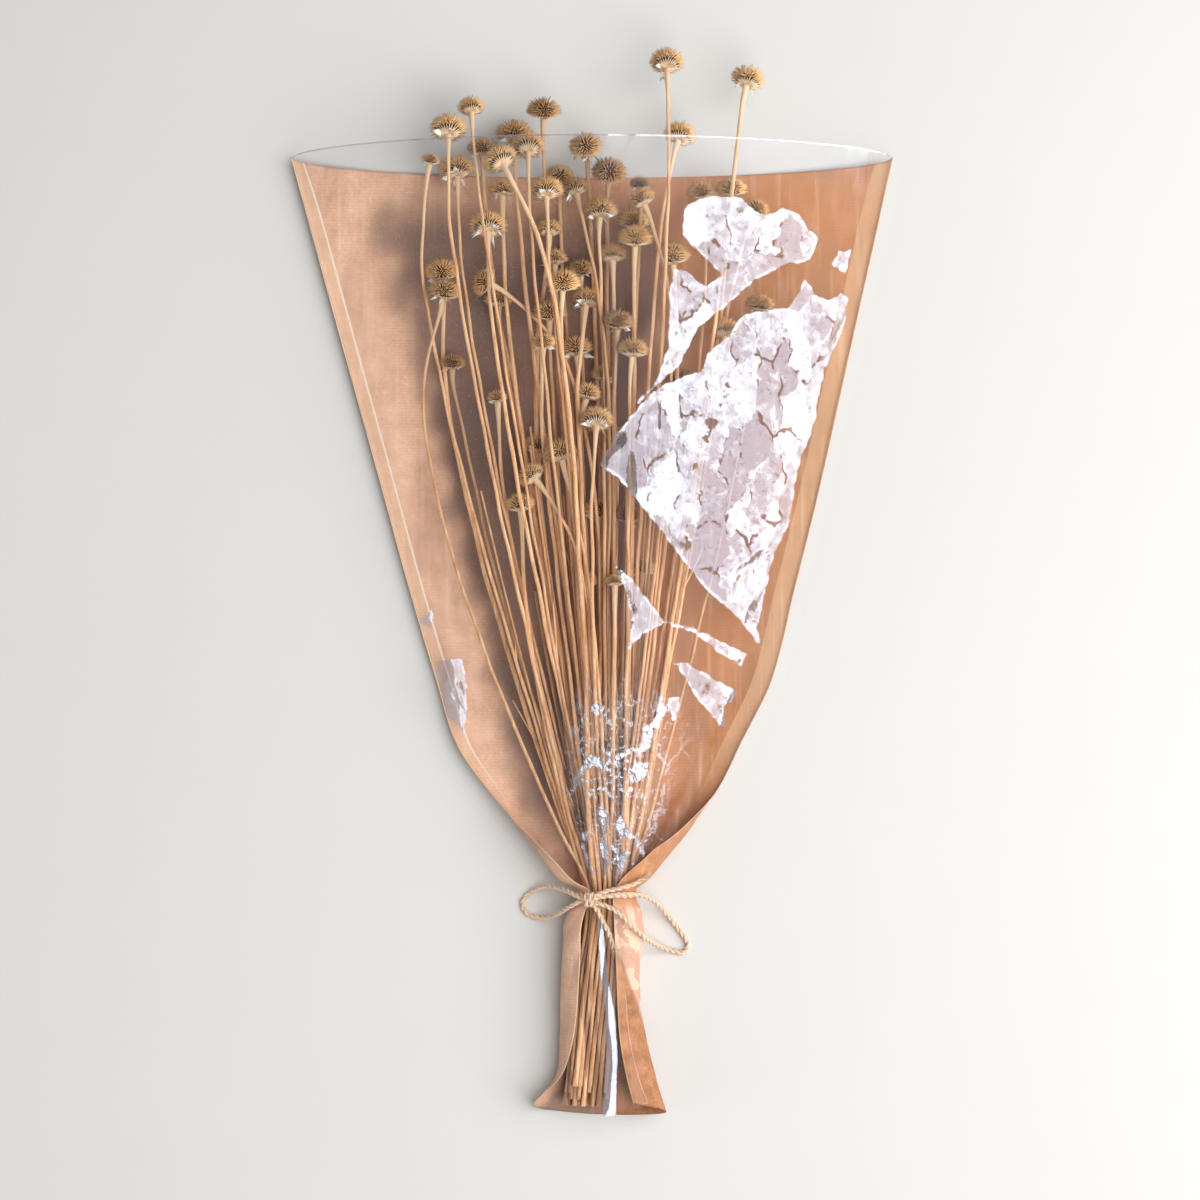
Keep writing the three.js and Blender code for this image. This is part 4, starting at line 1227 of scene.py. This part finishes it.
def broken_shoot(line, girth, generator):
    """A short bare side shoot that leaves a stem."""
    start = int(len(line) * generator.uniform(0.38, 0.7))
    ahead = line[start + 2] - line[start]
    ahead /= np.linalg.norm(ahead)
    side = generator.choice((-1, 1)) * generator.uniform(0.12, 0.4)
    way = ahead + np.array((side, 0, generator.uniform(-0.04, 0.1)))
    length = generator.uniform(0.012, 0.045)
    points = [line[start] + way * length * t + ahead * length * 0.3 * t * t for t in np.linspace(0, 1, 6)]
    return np.array(points), girth[start] * np.linspace(0.75, 0.4, 6)


def line_object(name, lines):
    """An object of bare lines, each with its girth and how far along it each place is."""
    corners, edges, girths, alongs = [], [], [], []
    for line, girth, along in lines:
        start = len(corners)
        corners.extend(line)
        edges.extend((start + k, start + k + 1) for k in range(len(line) - 1))
        girths.extend(girth)
        alongs.extend(along)
    piece = new_object(name, corners, [], edges)
    store(piece.data, "girth", girths)
    store(piece.data, "along", alongs)
    return piece


def make_daisy(name, joints, foot, way, radius, number, tree, settings):
    """One dried daisy: its stem, perhaps a broken side shoot, and its seed head."""
    usual_radius = 0.01  # a head of this radius has the usual number of bristles
    generator = random.Random(1000 + number)
    line, girth = stem_points(joints, foot, generator, settings)
    lines = [(line, girth, np.linspace(0, 1, len(line)))]
    if generator.random() < 0.4:
        shoot, shoot_girth = broken_shoot(line, girth, generator)
        lines.append((shoot, shoot_girth, np.full(len(shoot), 0.5)))
    piece = line_object(name, lines)
    apply_tree(piece, tree, {
        "Head Place": foot[:], "Head Way": way[:], "Head Radius": radius * settings.head_fullness,
        "Bristles": int(settings.bristles * (radius / usual_radius) ** 0.7), "Cup Ribs": settings.cup_ribs,
        "Petals": generator.choice((0, 0, 0, 2, 4, 7)), "Seed": number,
        "Tone": generator.choice((0.0, 0.0, 0.05, 0.15, 0.3, 0.5, 0.95)),
    })
    return piece


# ---- Twine ----
def neck_turn(reach, steps):
    """The turn of twine round the neck, from the knot and back into it."""
    x, z = NECK["x"], NECK["z"]
    half_width, half_height = NECK["half_width"], NECK["half_height"]
    start = math.atan2((KNOT[2] - z) / half_height, (KNOT[0] - x) / half_width)
    under = -half_height - reach  # no lower than this, where the neck rests on the table
    places = []
    for i in range(1, steps):
        angle = start - 2 * math.pi * i / steps
        high = (half_height + reach) * math.sin(angle)
        if high <= 0:
            high = max(high * 1.15, under)
        places.append((x + (half_width + reach) * math.cos(angle), 0.0, z + high))
    return places


def twine_route(settings):
    """The twine's middle line: down tail, knot, neck, knot, both bow loops and up tail."""
    reach = settings.diameter / 2 + 2 * TWINE_GAP
    neck = neck_turn(reach, 12)
    stops = [*reversed(DOWN_TAIL), KNOT, *neck, KNOT, *LEFT_LOOP, KNOT, *RIGHT_LOOP, KNOT, *UP_TAIL]
    return smooth_path([np.array(stop) + np.array(TIE) for stop in stops], TWINE_STEP)


def twisted(line, settings):
    """Two plies twisted round a line, thinner where they fray at its ends."""
    sides, fray_length, thinnest, lump_size, lump_share = 9, 0.006, 0.45, 0.004, 0.16
    first, second = cross_frames(line)
    run = np.linspace(0, path_length(line), len(line))
    turn = 2 * math.pi * run / settings.lay_length
    ply = settings.diameter / 4
    fray = np.clip(np.minimum(run, run[-1] - run) / fray_length, thinnest, 1)
    shapes = []
    for half_turn in (0, math.pi):
        spin = turn + half_turn
        way = first * np.cos(spin)[:, None] + second * np.sin(spin)[:, None]
        strand = line + way * (ply * 0.9 + 0.0004 * (1 - fray))[:, None]
        lumps = np.array([noise.noise((place / lump_size, half_turn, 0)) for place in run])
        shapes.append(tube(strand, ply * 1.12 * fray * (1 + lump_share * lumps), sides))
    return shapes


def loose_fibres(line, count, generator):
    """Short fine fibres that stand off the twine, more of them at its ends."""
    at_ends, end_reach = 0.22, 0.015
    twine_reach, shortest, longest, curliness = 0.0011, 0.0015, 0.0048, 0.25
    radii = (0.00007, 0.00006, 0.00005, 0.00002)
    ways = np.gradient(line, axis=0)
    shapes = []
    for _ in range(count):
        share = generator.random()
        if generator.random() < at_ends:
            share = generator.choice((0, 1)) + generator.choice((-1, 1)) * end_reach * generator.random()
        k = int(np.clip(share, 0, 0.999) * len(line))
        ahead = ways[k] / np.linalg.norm(ways[k]) * generator.choice((-1, 1))
        off = np.array([generator.gauss(0, 1) for _ in range(3)])
        off /= np.linalg.norm(off)
        start = line[k] + off * twine_reach
        length = generator.uniform(shortest, longest)
        curl = np.array([generator.gauss(0, 1) for _ in range(3)]) * curliness
        points = []
        for t in (0, 0.33, 0.66, 1):
            x, y, z = start + (ahead * t + off * (0.35 * t) + curl * t * t) * length
            points.append((x, y, max(z, 0.0001)))
        shapes.append(tube(np.array(points), radii, 3))
    return shapes


def knot_turns():
    """The twine's turns over the middle of the bow."""
    steps, turns, half_length, ring_radius = 90, 2.3, 0.0029, 0.0031
    middle = np.array(KNOT) + np.array(TIE)
    line = []
    for i in range(steps + 1):
        share = i / steps
        angle = 2 * math.pi * turns * share
        ring = ring_radius + 0.0005 * math.sin(3.1 * angle)
        along = (share - 0.5) * 2 * half_length + 0.0006 * math.sin(angle)
        line.append(middle + np.array((along, ring * math.cos(angle), ring * math.sin(angle))))
    return even_path(np.array(line), TWINE_STEP)


# ---- Operators ----
class DAISIES_OT_camera(Operator):
    """Puts the camera straight over the bunch"""

    bl_idname = "daisies.camera"
    bl_label = "Camera"

    def execute(self, context):
        settings = context.scene.daisies_stage
        data = bpy.data.cameras.new("view")
        data.sensor_width = 36.0
        data.lens = data.sensor_width * settings.camera_height / settings.view_width
        data.clip_start, data.clip_end = 0.1, 20.0
        camera = bpy.data.objects.new("view", data)
        middle = TIE + Vector(VIEW_MIDDLE)
        camera.location = middle + Vector((0, 0, settings.camera_height))
        context.scene.collection.objects.link(camera)
        context.scene.camera = camera
        return {"FINISHED"}


class DAISIES_OT_twine(Operator):
    """Makes the jute twine, its knot and its loose fibres"""

    bl_idname = "daisies.twine"
    bl_label = "Jute Twine"

    def execute(self, context):
        settings = context.scene.daisies_twine
        material = twine_material(settings)
        line = twine_route(settings)
        twine = new_object("twine_bow", *join_shapes(twisted(line, settings)))
        turns = knot_turns()
        knot = new_object("twine_knot", *join_shapes(twisted(turns, settings)))
        generator = random.Random(7)
        hairs = loose_fibres(line, settings.fibres, generator) + loose_fibres(turns, 60, generator)
        fibres = new_object("twine_fibres", *join_shapes(hairs))
        for piece in (twine, knot, fibres):
            outward(piece)
        finish_piece(twine, "jute_twine", material, "jute_twine")
        finish_piece(knot, "jute_twine", material)
        finish_piece(fibres, "jute_twine", material)
        return {"FINISHED"}


class DAISIES_OT_daisies(Operator):
    """Makes a dried daisy for each one in the frame, and those deep in the bunch"""

    bl_idname = "daisies.daisies"
    bl_label = "Dried Daisies"

    def execute(self, context):
        settings = context.scene.daisies_flowers
        material = daisy_material(settings)
        stem = stem_group()
        tree = daisy_tree(stem, head_group(), material)
        lines = {}
        for number, node in enumerate(DAISY_NODES, 1):
            joints, foot, way, radius = daisy_line(node)
            lines[node] = joints
            piece = make_daisy(f"dried_{node}", joints, foot, way, radius, number, tree, settings)
            finish_piece(piece, "dried_daisy", material, node)
        self.deep_daisies(lines, tree, material, settings)
        self.bare_stems(lines, stem, material, settings)
        return {"FINISHED"}

    def deep_daisies(self, lines, tree, material, settings):
        """Daisies whose heads show deep between the others, their stems beside a CAD one."""
        for number, (place, radius, beside, nod) in enumerate(DEEP_DAISIES, 1):
            way = Vector((0, math.cos(math.radians(nod)), math.sin(math.radians(nod))))
            foot = TIE + Vector(place) * MM - way * radius * 0.55 * MM
            guide = lines[beside]
            joints = []
            for joint in guide[:-1]:
                share = max((joint.y - TIE.y) / (guide[-1].y - TIE.y), 0)
                moved = joint.lerp(foot, share ** 2)
                moved.y = joint.y * (1 - share) + (TIE.y + (foot.y - TIE.y) * share) * share
                joints.append(moved + Vector((0.0011, 0, -0.0008)))
            joints = [j for j in joints if j.y < foot.y - 0.03]
            joints.append(foot - way * 0.008)
            name = f"deep_daisy_{number:02d}"
            piece = make_daisy(name, joints, foot, way, radius * MM, 100 + number, tree, settings)
            finish_piece(piece, "dried_daisy", material)

    def bare_stems(self, lines, stem, material, settings):
        """Stems that have lost their heads, each half way between two others."""
        generator = random.Random(31)
        nodes = sorted(lines, key=lambda node: lines[node][5].x)
        twigs, tones = [], []
        for _ in range(settings.bare_stems):
            k = generator.randrange(2, len(nodes) - 4)
            share = generator.uniform(0.3, 0.7)
            pair = zip(lines[nodes[k]], lines[nodes[k + 1]])
            middles = [a.lerp(b, share) for a, b in pair][:generator.choice((5, 6, 7, 7, 8))]
            line = smooth_path(middles, PATH_STEP)
            radius = settings.stem_radius * generator.uniform(0.65, 1.0)
            girth = np.linspace(1.0, 0.65, len(line)) * radius
            twigs.append((line, girth, np.linspace(0.2, 0.8, len(line))))
            tones.extend([generator.choice((0.2, 0.5, 0.9, 1.4, 1.8))] * len(line))
        piece = line_object("bare_stems", twigs)
        store(piece.data, "tone", tones)
        apply_tree(piece, twig_tree(stem, material), {})
        finish_piece(piece, "dried_daisy", material)


class DAISIES_OT_paper(Operator):
    """Makes the kraft paper back of the sleeve"""

    bl_idname = "daisies.paper"
    bl_label = "Kraft Paper"

    def execute(self, context):
        settings = context.scene.daisies_sleeve
        grid = fine_sheet("kraft_paper_back", 131, settings)
        normals = grid_normals(grid, np.array(TIE) + np.array((0, 0.1, 0.02)))
        run = run_across(grid)
        edge = np.minimum(run, run[:, -1:] - run)
        lift = paper_lift(grid) * np.clip(edge / 0.01, 0.25, 1)
        fold = gathers(grid, 15, 1.2) * settings.pleat_depth * 0.8
        grid = grid - normals * lift[..., None] + normals * fold[..., None]
        grid[..., 2] = np.maximum(grid[..., 2], 0.00005)  # just clear of the floor
        piece = sheet_object("kraft_paper", grid)
        store(piece.data, "shaded", stem_shade(grid))
        solid = piece.modifiers.new("thickness", "SOLIDIFY")
        solid.thickness = settings.paper_thickness
        solid.offset = -1.0 if piece.data.polygons[len(piece.data.polygons) // 2].normal.z < 0 else 1.0
        finish_piece(piece, "kraft_paper", paper_material(settings), "kraft_paper_back")
        return {"FINISHED"}


class DAISIES_OT_film(Operator):
    """Makes the clear film front of the sleeve"""

    bl_idname = "daisies.film"
    bl_label = "Clear Film"

    def execute(self, context):
        settings = context.scene.daisies_sleeve
        grid = fine_sheet("clear_film_front", 171, settings)
        normals = grid_normals(grid, np.array(TIE) + np.array((0, 0.1, 0.0)))
        highlight_reach = patch_distance(grid)
        grid = grid + normals * film_lift(grid, highlight_reach, settings)[..., None]
        piece = sheet_object("clear_film", grid)
        store(piece.data, "highlight_reach", highlight_reach)
        store(piece.data, "crinkle", neck_crinkle(grid))
        store(piece.data, "mouth", run_to_mouth(grid))
        finish_piece(piece, "clear_film", film_material(), "clear_film_front")
        return {"FINISHED"}


class DAISIES_OT_stage(Operator):
    """Makes the floor and the soft studio light"""

    bl_idname = "daisies.stage"
    bl_label = "Stage"

    def execute(self, context):
        settings = context.scene.daisies_stage
        half = 2.5
        corners = [(-half, -half, 0), (half, -half, 0), (half, half, 0), (-half, half, 0)]
        floor = new_object("floor", corners, [(0, 1, 2, 3)])
        floor.data.materials.append(floor_material(settings))
        tilt = settings.lamp_tilt
        main_way = (math.sin(tilt), -0.08, math.cos(tilt))
        self.lamp("main", main_way, settings.lamp_distance, settings.lamp_size, MAIN_BRIGHTNESS)
        for name, (way, size, brightness) in LOW_LAMPS.items():
            self.lamp(name, way, settings.lamp_distance, size, brightness)
        world = bpy.data.worlds.new("studio")
        world.use_nodes = True
        background = world.node_tree.nodes["Background"]
        background.inputs["Color"].default_value = SKY_COLOUR
        background.inputs["Strength"].default_value = SKY_STRENGTH
        context.scene.world = world
        context.scene.view_settings.view_transform = "Standard"
        return {"FINISHED"}

    def lamp(self, name, way, distance, size, brightness):
        """A square soft lamp whose surface has the given brightness."""
        way = Vector(way).normalized()
        data = bpy.data.lights.new(name, "AREA")
        data.shape = "SQUARE"
        data.size = size
        data.energy = math.pi * size * size * brightness
        lamp = bpy.data.objects.new(name, data)
        turn = way.to_track_quat("Z", "Y").to_matrix().to_4x4()
        lamp.matrix_world = Matrix.Translation(TIE + Vector(LIT_MIDDLE) + way * distance) @ turn
        bpy.context.scene.collection.objects.link(lamp)


STEPS = (
    DAISIES_OT_camera, DAISIES_OT_twine, DAISIES_OT_daisies, DAISIES_OT_paper, DAISIES_OT_film,
    DAISIES_OT_stage,
)
SETTINGS = {
    "daisies_sleeve": SleeveSettings,
    "daisies_flowers": DaisySettings,
    "daisies_twine": TwineSettings,
    "daisies_stage": StageSettings,
}


class DAISIES_PT_panel(Panel):
    """Lists the steps and their settings."""

    bl_label = "Dried Daisy Bunch"
    bl_idname = "DAISIES_PT_panel"
    bl_space_type = "VIEW_3D"
    bl_region_type = "UI"
    bl_category = "Daisies"

    def draw(self, context):
        for step in STEPS:
            self.layout.operator(step.bl_idname)
        for name, group in SETTINGS.items():
            box = self.layout.box()
            settings = getattr(context.scene, name)
            for field in group.__annotations__:
                box.prop(settings, field)


def register():
    for group in SETTINGS.values():
        bpy.utils.register_class(group)
    for step in STEPS:
        bpy.utils.register_class(step)
    bpy.utils.register_class(DAISIES_PT_panel)
    for name, group in SETTINGS.items():
        setattr(bpy.types.Scene, name, PointerProperty(type=group))


def unregister():
    for name in SETTINGS:
        delattr(bpy.types.Scene, name)
    bpy.utils.unregister_class(DAISIES_PT_panel)
    for step in reversed(STEPS):
        bpy.utils.unregister_class(step)
    for group in SETTINGS.values():
        bpy.utils.unregister_class(group)


def main():
    register()
    bpy.ops.daisies.camera()
    bpy.ops.daisies.twine()
    bpy.ops.daisies.daisies()
    bpy.ops.daisies.paper()
    bpy.ops.daisies.film()
    bpy.ops.daisies.stage()


if __name__ == "__main__":
    main()
